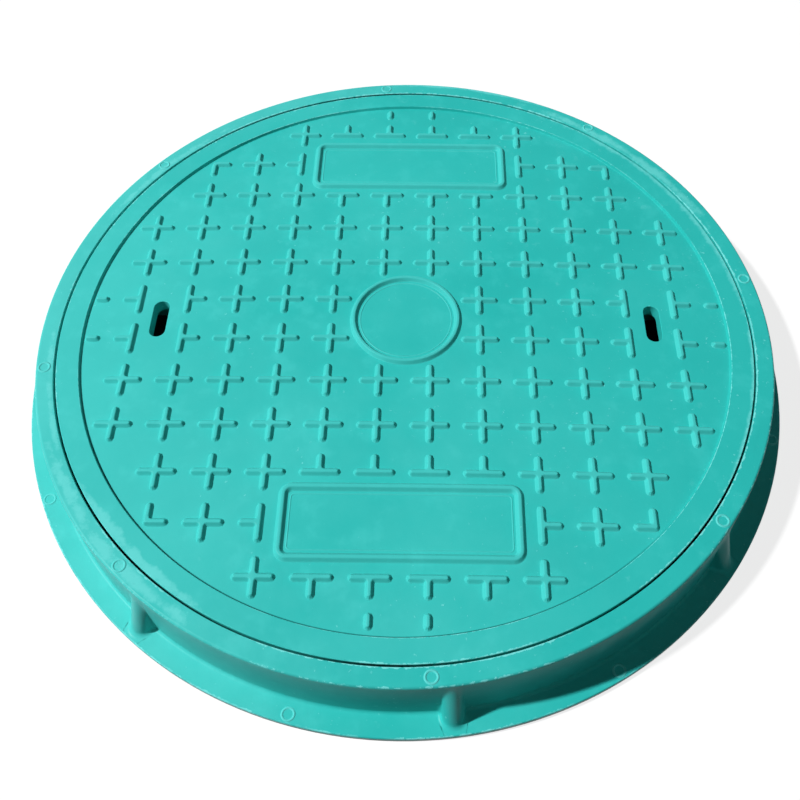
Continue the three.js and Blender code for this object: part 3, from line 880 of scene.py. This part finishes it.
def stacked_ridges(lid, tread, outlines, places, first):
    """Ridges of one plan at many places: the plan's outlines, one above the other, over the dome.

    The point (x, y) of the outline at height h goes to field_level(hypot(x, y)) + h."""
    loops, columns = len(outlines), len(outlines[0][0])
    plan = np.stack([outline for outline, _ in outlines])
    heights = np.array([height for _, height in outlines])[None, :, None]
    spots = np.asarray(places)[:, None, None]
    x, y = (plan[None] + spots)[..., 0], (plan[None] + spots)[..., 1]
    z = field_level(lid, tread, np.hypot(x, y)) + heights
    points = np.stack([x, y, z], axis=-1).reshape(-1, 3)
    starts = first + np.arange(len(places)) * loops * columns
    ring = np.arange(columns)
    sides = np.concatenate([strip_faces(loops, columns, first=start) for start in starts])
    foot = starts[:, None] + ring[::-1]
    top = starts[:, None] + (loops - 1) * columns + ring
    return points, [sides, foot, top]


def mirrored_arms(arms, side_x, side_y):
    """Arms of a cross in another quarter of the lid: left and right, or up and down, change places."""
    right, up, left, down = arms
    if side_x < 0:
        right, left = left, right
    if side_y < 0:
        up, down = down, up
    return right, up, left, down


class COVER_OT_crosses(bpy.types.Operator):
    """Builds the raised crosses and dashes on the lid"""

    bl_idname = "cover.crosses"
    bl_label = "Crosses"

    def execute(self, context):
        lid, tread = context.scene.cover_lid, context.scene.cover_tread
        half_width = tread.arm_width / 2
        end_draft = 0.6 * MM
        foot_reach = tread.arm_reach + end_draft
        field_radius = lid.radius - lid.border_width
        points, face_sets = [], []

        def add(outlines, places):
            first = sum(len(part) for part in points)
            made, faces = stacked_ridges(lid, tread, outlines, places, first)
            points.append(made)
            face_sets.extend(faces)

        for arms, spots in cross_places(lid, tread).items():
            for side_x, side_y in ((1, 1), (-1, 1), (-1, -1), (1, -1)):
                outlines = []
                for inset_share, height_share in RIDGE_SHARES:
                    inset = inset_share * half_width
                    outline = cross_outline(
                        mirrored_arms(arms, side_x, side_y),
                        half_width - inset,
                        foot_reach - inset,
                        tread.corner_fillet + inset,
                    )
                    outlines.append((outline, height_share * tread.height))
                add(outlines, np.array(spots) * (side_x, side_y))
        beside = tread.pitch / 2
        side_x, end_y = field_radius - tread.side_dash_inset, field_radius - tread.end_dash_inset
        for half_x, half_y, x, y in (
            (tread.dash_length / 2, 0, side_x, beside),
            (0, tread.dash_length / 2, beside, end_y),
        ):
            outlines = []
            for inset_share, height_share in RIDGE_SHARES:
                radius = half_width * (1 - inset_share)
                straight = np.array([half_x, half_y]) * (1 - half_width / (tread.dash_length / 2))
                turn = 0 if half_x else 90
                outline = np.concatenate([
                    arc(straight, radius, turn - 90, turn + 90, 4),
                    arc(-straight, radius, turn + 90, turn + 270, 4),
                ])
                outlines.append((outline, height_share * tread.height))
            add(outlines, np.array([(x, y), (-x, y), (-x, -y), (x, -y)]))
        piece = mesh_object("tread_crosses", np.concatenate(points), face_sets)
        colours = context.scene.cover_colours
        # The tread is made paler all over: a painted highlight
        material = resin_material("tread resin", colours, LID_SEED, LID_SHEEN, rubbed_and_highlit=TREAD_HIGHLIGHT)
        finish_piece(piece, "lid", material)
        return {"FINISHED"}


def carried_ridge(lid, tread, path, outward, half_width, height):
    """A ridge whose section is carried along a closed path: the section point (s, h) goes to
    path + s outward in plan, and to field_level + h in height."""
    section = ridge_section(half_width, height)
    plan = path[None] + section[:, 0][:, None, None] * outward[None]
    level = field_level(lid, tread, np.hypot(plan[..., 0], plan[..., 1])) + section[:, 1][:, None]
    return np.concatenate([plan, level[..., None]], axis=-1)


def ridge_and_seam(name, lid, tread, place, path_of, ridge_width, flare=0.7 * MM):
    """A ridge round a bare field with a fine seam inside it, as one mesh. Each path is given by how far
    its middle lies inside the ridge's outer foot."""
    points, face_sets = [], []
    seam_middle = ridge_width + tread.seam_inset + tread.seam_width / 2
    for inset, half_width, height in (
        (ridge_width / 2, ridge_width / 2 + flare, tread.height),
        (seam_middle, tread.seam_width / 2, tread.seam_height),
    ):
        path, outward = path_of(inset)
        ridge = carried_ridge(lid, tread, path + place, outward, half_width, height)
        first = sum(len(part) for part in points)
        points.append(ridge.reshape(-1, 3))
        face_sets.append(strip_faces(*ridge.shape[:2], rows_close=True, first=first))
    return mesh_object(name, np.concatenate(points), face_sets)


def rounded_path(length_x, length_y, corner, side_steps=12, corner_steps=6):
    """A rectangle with round corners about the origin, and the way outwards at each of its points."""
    x, y = length_x / 2 - corner, length_y / 2 - corner
    middles = ((x, y), (-x, y), (-x, -y), (x, -y))
    path, outward = [], []
    for index, middle in enumerate(middles):
        turned = arc((0, 0), 1, 90 * index, 90 * index + 90, corner_steps)
        path.append(np.array(middle) + corner * turned)
        outward.append(turned)
        following = np.array(middles[(index + 1) % 4]) + corner * turned[-1]
        share = np.linspace(0, 1, side_steps + 1)[1:-1, None]
        path.append(path[-1][-1] + share * (following - path[-1][-1]))
        outward.append(np.repeat(turned[-1:], side_steps - 1, axis=0))
    return np.concatenate(path), np.concatenate(outward)


class COVER_OT_panels(bpy.types.Operator):
    """Builds the ring in the middle of the lid and the ridges round its two bare panels"""

    bl_idname = "cover.panels"
    bl_label = "Centre ring and panel ridges"

    def execute(self, context):
        lid, tread = context.scene.cover_lid, context.scene.cover_tread
        colours = context.scene.cover_colours
        # The ring and the panel ridges are made paler all over: a painted highlight
        material = resin_material("ridge resin", colours, LID_SEED, LID_SHEEN, rubbed_and_highlit=TREAD_HIGHLIGHT)
        least_corner = tread.panel_corner / 3

        def round_path(inset, columns=96):
            outward = directions(whole_turn(columns))
            return outward * (tread.ring_radius - inset), outward

        def panel_path(inset):
            corner = max(tread.panel_corner - inset, least_corner)
            return rounded_path(tread.panel_length - 2 * inset, tread.panel_height - 2 * inset, corner)

        for name, place, path_of, ridge_width in (
            ("tread_centre_ring", (0, 0), round_path, tread.ring_width),
            ("tread_far_panel", (0, tread.panel_place), panel_path, tread.panel_ridge),
            ("tread_near_panel", (0, -tread.panel_place), panel_path, tread.panel_ridge),
        ):
            piece = ridge_and_seam(name, lid, tread, place, path_of, ridge_width)
            finish_piece(piece, "lid", material)
        return {"FINISHED"}


class COVER_OT_steel(bpy.types.Operator):
    """Gives the steel bars and hoops their finish"""

    bl_idname = "cover.steel"
    bl_label = "Steel bars"

    def execute(self, context):
        material = steel_material("mill scale", context.scene.cover_colours)
        for name in STEEL_NODES:
            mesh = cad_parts[name].data
            mesh.materials.clear()
            mesh.materials.append(material)
        return {"FINISHED"}


# Materials

# Spots in the finishes: scale, detail and roughness of their noise, the two values of the noise between
# which they fade in, and how strong they are
RESIN_PATCHES = (6.0, 4.0, 0.55, 0.35, 0.62, 1.0)
DEEP_SPECKLES = (700.0, 2.0, 0.5, 0.6, 0.8, 0.2)
SCUFFED_PLACES = (8.0, 2.0, 0.5, 0.55, 0.68, 1.0)
SCUFF_FLECKS = (150.0, 3.0, 0.6, 0.66, 0.76, 0.7)
CHIPPED_PLACES = (9.0, 3.0, 0.5, 0.40, 0.58, 1.0)
RUBBER_BLOOM = (30.0, 4.0, 0.6, 0.45, 0.75, 0.5)
RUST_BLOOM = (90.0, 5.0, 0.65, 0.48, 0.68, 1.0)

# Scale, detail and roughness of the noises that make the clouds in the pigment and the ragged limits of
# the painted sheen, the rubbed bands and the chips
CLOUD_NOISE = (34.0, 3.0, 0.6)
SHEEN_NOISE = (7.0, 5.0, 0.65)
BAND_NOISE = (50.0, 5.0, 0.7)
CHIP_NOISE = (190.0, 4.0, 0.65)

# Between which values each of them fades in, and how much being near a band or an edge adds to its noise
CLOUD_LIMITS = (0.5, 0.75)
SHEEN_LIMITS = (0.25, 0.95)
BAND_LIMITS = (0.58, 0.95)
CHIP_LIMITS = (0.66, 0.74)
BAND_PULL = 0.4
CHIP_PULL = 0.30

# How strongly each of them colours the resin
CLOUD_SHARE = 0.6
BAND_SHARE = 0.6
WEAR_AND_HIGHLIGHT_SHARE = 0.8
CREASE_SHADE_SHARE = 0.75
LOW_DARKENING_SHARE = 0.8

# Where the crease's painted shade fades: away from the crease, and toward its side as a share of the radius
CREASE_WIDTH = (0.3 * MM, 1.3 * MM)
CREASE_ENDS = (0.35, 0.75)

# Gloss: the resin's roughness over its clouds, what wear adds to it, and the finishes' other ranges
CLOUD_SPAN = (0.3, 0.7)
RESIN_ROUGHNESS = (0.30, 0.40)
WORN_ROUGHNESS = 0.2
RESIN_SPECULAR = 0.08
RUBBER_ROUGHNESS = (0.62, 0.88)
STEEL_METALLIC = (0.85, 0.15)
STEEL_ROUGHNESS = (0.42, 0.85)
RUBBER_DUST = (0.10, 0.10, 0.095, 1)

# Unevenness of the skins: scale and detail of its noise, strength and height. The chips' has only the last
# two, because they are a pattern already.
RESIN_SWELL = (60.0, 2.0, 0.35, 0.6 * MM)
RESIN_PEEL = (420.0, 3.0, 0.25, 0.12 * MM)
RUBBER_GRAIN = (900.0, 2.0, 0.3, 0.1 * MM)
SCALE_GRAIN = (260.0, 4.0, 0.5, 0.2 * MM)
CHIP_DEPTH = (0.5, 0.2 * MM)


def set_inputs(tree, node, inputs):
    """Sets a node's inputs to values, or links them from other nodes' sockets."""
    for key, value in inputs.items():
        if isinstance(value, bpy.types.NodeSocket):
            tree.links.new(value, node.inputs[key])
        else:
            node.inputs[key].default_value = value


def add_node(tree, kind, inputs, **settings):
    """A node with its settings and inputs."""
    made = tree.nodes.new(kind)
    for key, value in settings.items():
        setattr(made, key, value)
    set_inputs(tree, made, inputs)
    return made


def sum_of(tree, operation, *values):
    """What one operation makes of numbers or sockets."""
    return add_node(tree, "ShaderNodeMath", dict(enumerate(values)), operation=operation).outputs[0]


def noise_of(tree, place, scale, detail, roughness=0.5):
    """A noise from 0 to 1 at each place."""
    inputs = {"Vector": place, "Scale": scale, "Detail": detail, "Roughness": roughness}
    return add_node(tree, "ShaderNodeTexNoise", inputs).outputs[0]


def range_of(tree, value, low, high, to_low=0.0, to_high=1.0):
    """Takes a value from one range to another, smoothly at both ends."""
    inputs = {"Value": value, "From Min": low, "From Max": high, "To Min": to_low, "To Max": to_high}
    return add_node(tree, "ShaderNodeMapRange", inputs, interpolation_type="SMOOTHSTEP").outputs[0]


def mix_of(tree, share, first, second):
    """A colour between two colours."""
    made = add_node(tree, "ShaderNodeMix", {0: share, 6: first, 7: second}, data_type="RGBA")
    return made.outputs[2]


def spots_of(tree, place, scale, detail, roughness, low, high, share):
    """Spots where a noise rises from low to high: from 0 to their share."""
    return range_of(tree, noise_of(tree, place, scale, detail, roughness), low, high, 0.0, share)


def bump_of(tree, height, strength, distance, below=None):
    """A bump of the surface, on top of the bump below it."""
    inputs = {"Strength": strength, "Distance": distance, "Height": height}
    if below is not None:
        inputs["Normal"] = below
    return add_node(tree, "ShaderNodeBump", inputs).outputs[0]


def grain_of(tree, place, grain, below=None):
    """An uneven skin, on top of the bump below it."""
    scale, detail, strength, distance = grain
    return bump_of(tree, noise_of(tree, place, scale, detail), strength, distance, below)


def new_material(name):
    """A material, its nodes, its shader, and the place on a piece that patterns follow."""
    material = bpy.data.materials.new(name)
    material.use_nodes = True
    tree = material.node_tree
    object_place = add_node(tree, "ShaderNodeTexCoord", {}).outputs["Object"]
    return material, tree, tree.nodes["Principled BSDF"], object_place


def radius_of(tree, split):
    """Distance from the Z axis, the root of x squared + y squared."""
    squares = [sum_of(tree, "POWER", split.outputs[axis], 2.0) for axis in ("X", "Y")]
    return sum_of(tree, "SQRT", sum_of(tree, "ADD", *squares))


def toward_side(tree, object_place, toward):
    """How far a point lies toward an angle a in degrees: x cos a + y sin a."""
    angle = math.radians(toward)
    way = (math.cos(angle), math.sin(angle), 0)
    along = add_node(tree, "ShaderNodeVectorMath", {0: object_place, 1: way}, operation="DOT_PRODUCT")
    return along.outputs["Value"]


def painted_sheen(tree, object_place, place, toward):
    """A painted sheen that makes the side toward the lamp paler: 0 to 1 on the side that lies toward an angle
    in degrees, with a mottled limit, because a noise is added to how far toward that side a point lies."""
    ragged = sum_of(tree, "ADD", toward_side(tree, object_place, toward), noise_of(tree, place, *SHEEN_NOISE))
    return range_of(tree, ragged, *SHEEN_LIMITS)


def rubbed_bands(tree, object_place, place, bands):
    """Soft ragged bands along circles, given as (degrees, half the span in degrees, radius, width): 1
    where the resin is rubbed pale. They fade out over the outer two thirds of the span."""
    from_axis = radius_of(tree, add_node(tree, "ShaderNodeSeparateXYZ", {0: object_place}))
    ragged = noise_of(tree, place, *BAND_NOISE)
    rubbed_and_highlit = 0.0
    for degrees, span, radius, width in bands:
        ends = [radius * math.cos(math.radians(angle)) for angle in (span, span / 3)]
        away = sum_of(tree, "ABSOLUTE", sum_of(tree, "SUBTRACT", from_axis, radius))
        near = range_of(tree, away, 0.0, width, BAND_PULL, 0.0)
        along = range_of(tree, toward_side(tree, object_place, degrees), *ends)
        near = sum_of(tree, "MULTIPLY", near, along)
        band = range_of(tree, sum_of(tree, "ADD", near, ragged), *BAND_LIMITS)
        rubbed_and_highlit = sum_of(tree, "MAXIMUM", rubbed_and_highlit, band)
    return rubbed_and_highlit


def painted_crease_shade(tree, object_place, radius, toward):
    """Painted shade in the round crease of a given radius, on the side toward an angle in degrees: 1 where it
    is.
    """
    from_axis = radius_of(tree, add_node(tree, "ShaderNodeSeparateXYZ", {0: object_place}))
    away = sum_of(tree, "ABSOLUTE", sum_of(tree, "SUBTRACT", from_axis, radius))
    ends = [share * radius for share in CREASE_ENDS]
    side = range_of(tree, toward_side(tree, object_place, toward), *ends)
    return sum_of(tree, "MULTIPLY", range_of(tree, away, *CREASE_WIDTH, 1.0, 0.0), side)


def worn_and_highlit_edges(tree, object_place, place, edges):
    """Ragged chips along round edges, given as (radius, height, how far the chips reach): 1 where the
    resin is worn pale. Along the lid's step they also stand for a painted highlight on its top edge."""
    split = add_node(tree, "ShaderNodeSeparateXYZ", {0: object_place})
    from_axis = radius_of(tree, split)
    ragged = noise_of(tree, place, *CHIP_NOISE)
    worn_and_highlit = 0.0
    for radius, level, width in edges:
        out = sum_of(tree, "POWER", sum_of(tree, "SUBTRACT", from_axis, radius), 2.0)
        up = sum_of(tree, "POWER", sum_of(tree, "SUBTRACT", split.outputs["Z"], level), 2.0)
        away = sum_of(tree, "SQRT", sum_of(tree, "ADD", out, up))
        near = range_of(tree, away, 0.0, width, CHIP_PULL, 0.0)
        chips = range_of(tree, sum_of(tree, "ADD", near, ragged), *CHIP_LIMITS)
        worn_and_highlit = sum_of(tree, "MAXIMUM", worn_and_highlit, chips)
    return sum_of(tree, "MULTIPLY", worn_and_highlit, spots_of(tree, place, *CHIPPED_PLACES))


def resin_material(name, colours, seed, sheen, edges=(), rubbed_and_highlit=0.0, bands=(), crease=None, darker_below=0.0):
    """Glossy moulded resin: faintly mottled pigment, a painted sheen that makes one side paler, given as (the
    angle of the side toward the lamp, share), an uneven skin, and pale chips, most along the edges.

    A piece that stands proud can be made pale all over, by a share from 0 to 1: rubbed wear on the ejector
    marks, a painted highlight on the tread. Painted shade darkens a crease, and the resin is darker below a
    given height."""
    material, tree, shader, object_place = new_material(name)
    moved = {"Vector": object_place, "Location": (seed, seed, 0)}
    place = add_node(tree, "ShaderNodeMapping", moved).outputs[0]
    cloud = noise_of(tree, place, *CLOUD_NOISE)
    deep = (*colours.resin_deep, 1)
    shade = mix_of(tree, spots_of(tree, place, *RESIN_PATCHES), deep, (*colours.resin, 1))
    clouds = range_of(tree, cloud, *CLOUD_LIMITS, 0.0, CLOUD_SHARE)
    shade = mix_of(tree, clouds, shade, (*colours.resin_pale, 1))
    shade = mix_of(tree, spots_of(tree, place, *DEEP_SPECKLES), shade, deep)

    flecks = spots_of(tree, place, *SCUFF_FLECKS)
    worn_and_highlit = sum_of(tree, "MULTIPLY", flecks, spots_of(tree, place, *SCUFFED_PLACES))
    if edges:
        worn_and_highlit = sum_of(tree, "MAXIMUM", worn_and_highlit, worn_and_highlit_edges(tree, object_place, place, edges))
    if bands:
        banded = sum_of(tree, "MULTIPLY", rubbed_bands(tree, object_place, place, bands), BAND_SHARE)
        worn_and_highlit = sum_of(tree, "MAXIMUM", worn_and_highlit, banded)
    # Pieces that stand proud are made pale all over: rubbed wear on the ejector marks, a painted highlight on
    # the tread
    worn_and_highlit = sum_of(tree, "MAXIMUM", worn_and_highlit, rubbed_and_highlit)
    # Painted sheen: the side toward the lamp is made paler
    sheen_side, sheen_share = sheen
    painted_sheen_share = sum_of(tree, "MULTIPLY", painted_sheen(tree, object_place, place, sheen_side), sheen_share)
    pale = sum_of(tree, "MAXIMUM", sum_of(tree, "MULTIPLY", worn_and_highlit, WEAR_AND_HIGHLIGHT_SHARE), painted_sheen_share)
    shade = mix_of(tree, pale, shade, (*colours.scuff_and_sheen, 1))
    # Painted shade: a dark line in the crease at the foot of the lid's step, on one side
    if crease:
        crease_shade = sum_of(tree, "MULTIPLY", painted_crease_shade(tree, object_place, *crease), CREASE_SHADE_SHARE)
        shade = mix_of(tree, crease_shade, shade, (*colours.crease_shade_and_foot, 1))
    # Darker below a given height, along the flange's edge face
    if darker_below:
        height = add_node(tree, "ShaderNodeSeparateXYZ", {0: object_place}).outputs["Z"]
        low_darkening = range_of(tree, height, darker_below / 3, darker_below, LOW_DARKENING_SHARE, 0.0)
        shade = mix_of(tree, low_darkening, shade, (*colours.crease_shade_and_foot, 1))

    glossy = range_of(tree, cloud, *CLOUD_SPAN, *RESIN_ROUGHNESS)
    peel = grain_of(tree, place, RESIN_PEEL, grain_of(tree, place, RESIN_SWELL))
    set_inputs(tree, shader, {
        "Base Color": shade,
        "Roughness": sum_of(tree, "ADD", glossy, sum_of(tree, "MULTIPLY", worn_and_highlit, WORN_ROUGHNESS)),
        "Normal": bump_of(tree, worn_and_highlit, *CHIP_DEPTH, peel),
        "Specular IOR Level": RESIN_SPECULAR,
    })
    return material


def rubber_material(name, colours):
    """Matt black rubber with a bloom of dust and a fine grain."""
    material, tree, shader, place = new_material(name)
    bloom = spots_of(tree, place, *RUBBER_BLOOM)
    set_inputs(tree, shader, {
        "Base Color": mix_of(tree, bloom, (*colours.rubber, 1), RUBBER_DUST),
        "Roughness": range_of(tree, bloom, 0.0, RUBBER_BLOOM[-1], *RUBBER_ROUGHNESS),
        "Normal": grain_of(tree, place, RUBBER_GRAIN),
    })
    return material


def steel_material(name, colours):
    """Plain mild steel bar: dark mill scale with blooms of rust."""
    material, tree, shader, place = new_material(name)
    rust = spots_of(tree, place, *RUST_BLOOM)
    set_inputs(tree, shader, {
        "Base Color": mix_of(tree, rust, (*colours.steel, 1), (*colours.rust, 1)),
        "Metallic": range_of(tree, rust, 0.0, 1.0, *STEEL_METALLIC),
        "Roughness": range_of(tree, rust, 0.0, 1.0, *STEEL_ROUGHNESS),
        "Normal": grain_of(tree, place, SCALE_GRAIN),
    })
    return material


# Stage

# The floor's greys: what it throws back on the object, its own glow where it is seen, and what its shadow
# takes away
FLOOR_BOUNCE = 0.12
FLOOR_GLOW = 0.80
FLOOR_SHADE = 0.24


def seen_directly(tree):
    """1 for rays from the camera or from a gloss, 0 for those that only carry light."""
    path = add_node(tree, "ShaderNodeLightPath", {}).outputs
    gloss = sum_of(tree, "MAXIMUM", path["Is Glossy Ray"], path["Is Transmission Ray"])
    return sum_of(tree, "MAXIMUM", path["Is Camera Ray"], gloss)


def floor_material(inner_radius):
    """A pale floor that looks white, keeps a soft shadow, and is plain ground inside the frame."""
    material, tree, shader, place = new_material("floor")
    grey = (FLOOR_BOUNCE, FLOOR_BOUNCE, FLOOR_BOUNCE, 1)
    set_inputs(tree, shader, {"Base Color": grey, "Roughness": 1.0, "Specular IOR Level": 0.0})
    flat = add_node(tree, "ShaderNodeVectorMath", {0: place}, operation="LENGTH").outputs["Value"]
    outside = sum_of(tree, "GREATER_THAN", flat, inner_radius)
    white = add_node(tree, "ShaderNodeEmission", {"Color": (1, 1, 1, 1), "Strength": FLOOR_GLOW})
    pale = add_node(tree, "ShaderNodeBsdfDiffuse", {"Color": (FLOOR_SHADE, FLOOR_SHADE, FLOOR_SHADE, 1)})
    shown = add_node(tree, "ShaderNodeAddShader", {0: white.outputs[0], 1: pale.outputs[0]})
    share = sum_of(tree, "MULTIPLY", outside, seen_directly(tree))
    both = add_node(tree, "ShaderNodeMixShader", {0: share, 1: shader.outputs[0], 2: shown.outputs[0]})
    tree.links.new(both.outputs[0], tree.nodes["Material Output"].inputs["Surface"])
    return material


def make_floor(inner_radius, half_size=12.0):
    """A large square on the ground."""
    corners = half_size * np.array([[-1, -1, 0], [1, -1, 0], [1, 1, 0], [-1, 1, 0]])
    mesh = bpy.data.meshes.new("floor")
    mesh.from_pydata(corners.tolist(), [], [(0, 1, 2, 3)])
    floor = bpy.data.objects.new("floor", mesh)
    bpy.context.scene.collection.objects.link(floor)
    mesh.materials.append(floor_material(inner_radius))


def make_world(strength):
    """Even light from all round, which looks white where it is seen directly."""
    world = bpy.data.worlds.new("studio")
    world.use_nodes = True
    tree = world.node_tree
    share = seen_directly(tree)
    level = sum_of(tree, "ADD", sum_of(tree, "MULTIPLY", share, 1 - strength), strength)
    set_inputs(tree, tree.nodes["Background"], {"Color": (1, 1, 1, 1), "Strength": level})
    bpy.context.scene.world = world


def make_lamp(stage):
    """A round lamp to the left. Its light on level ground is power sin(elevation) / (pi distance) squared."""
    data = bpy.data.lights.new("lamp", "AREA")
    data.shape = "DISK"
    data.size = stage.lamp_width
    data.energy = stage.lamp_light * (math.pi * stage.lamp_distance) ** 2 / math.sin(stage.lamp_elevation)
    lamp = bpy.data.objects.new("lamp", data)
    flat = math.cos(stage.lamp_elevation)
    way = Vector((
        flat * math.cos(stage.lamp_turn),
        flat * math.sin(stage.lamp_turn),
        math.sin(stage.lamp_elevation),
    ))
    lamp.location = way * stage.lamp_distance
    lamp.rotation_euler = way.to_track_quat("Z", "Y").to_euler()
    bpy.context.scene.collection.objects.link(lamp)


def make_camera(stage):
    """A camera at the photograph's viewing angle."""
    data = bpy.data.cameras.new("camera")
    data.lens = stage.lens
    data.shift_x = stage.shift
    camera = bpy.data.objects.new("camera", data)
    place, target = Vector(stage.camera_place), Vector(stage.camera_target)
    camera.location = place
    level = (place - target).to_track_quat("Z", "Y")
    camera.rotation_euler = (level @ Quaternion((0, 0, 1), stage.roll)).to_euler()
    bpy.context.scene.collection.objects.link(camera)
    bpy.context.scene.camera = camera


class COVER_OT_stage(bpy.types.Operator):
    """Makes the floor, the light and the camera"""

    bl_idname = "cover.stage"
    bl_label = "Stage"

    def execute(self, context):
        stage = context.scene.cover_stage
        make_floor(context.scene.cover_frame.wall_foot_radius)
        make_world(stage.sky_light)
        make_lamp(stage)
        make_camera(stage)
        context.scene.view_settings.view_transform = "Standard"
        return {"FINISHED"}


# The add-on's panel and its registration

GROUPS = (
    ("cover_frame", FrameSizes, "Frame"),
    ("cover_buttress", ButtressSizes, "Buttresses"),
    ("cover_lid", LidSizes, "Lid"),
    ("cover_tread", TreadSizes, "Tread"),
    ("cover_colours", CoverColours, "Colours"),
    ("cover_stage", StageSettings, "Stage"),
)
OPERATORS = (
    COVER_OT_stage,
    COVER_OT_frame,
    COVER_OT_marks,
    COVER_OT_seal,
    COVER_OT_lid,
    COVER_OT_crosses,
    COVER_OT_panels,
    COVER_OT_steel,
)


class COVER_PT_panel(bpy.types.Panel):
    """Lists the cover's pieces and their sizes"""

    bl_idname = "COVER_PT_panel"
    bl_label = "Manhole cover"
    bl_space_type = "VIEW_3D"
    bl_region_type = "UI"
    bl_category = "Manhole cover"

    def draw(self, context):
        for operator in OPERATORS:
            self.layout.operator(operator.bl_idname)
        for attribute, group, label in GROUPS:
            self.layout.label(text=label)
            for name in group.__annotations__:
                self.layout.prop(getattr(context.scene, attribute), name)


def register():
    for attribute, group, _ in GROUPS:
        bpy.utils.register_class(group)
        setattr(bpy.types.Scene, attribute, PointerProperty(type=group))
    for kind in (*OPERATORS, COVER_PT_panel):
        bpy.utils.register_class(kind)


def unregister():
    for kind in (COVER_PT_panel, *reversed(OPERATORS)):
        bpy.utils.unregister_class(kind)
    for attribute, group, _ in reversed(GROUPS):
        delattr(bpy.types.Scene, attribute)
        bpy.utils.unregister_class(group)


def main():
    register()
    bpy.ops.cover.stage()
    bpy.ops.cover.frame()
    bpy.ops.cover.marks()
    bpy.ops.cover.seal()
    bpy.ops.cover.lid()
    bpy.ops.cover.crosses()
    bpy.ops.cover.panels()
    bpy.ops.cover.steel()


if __name__ == "__main__":
    main()
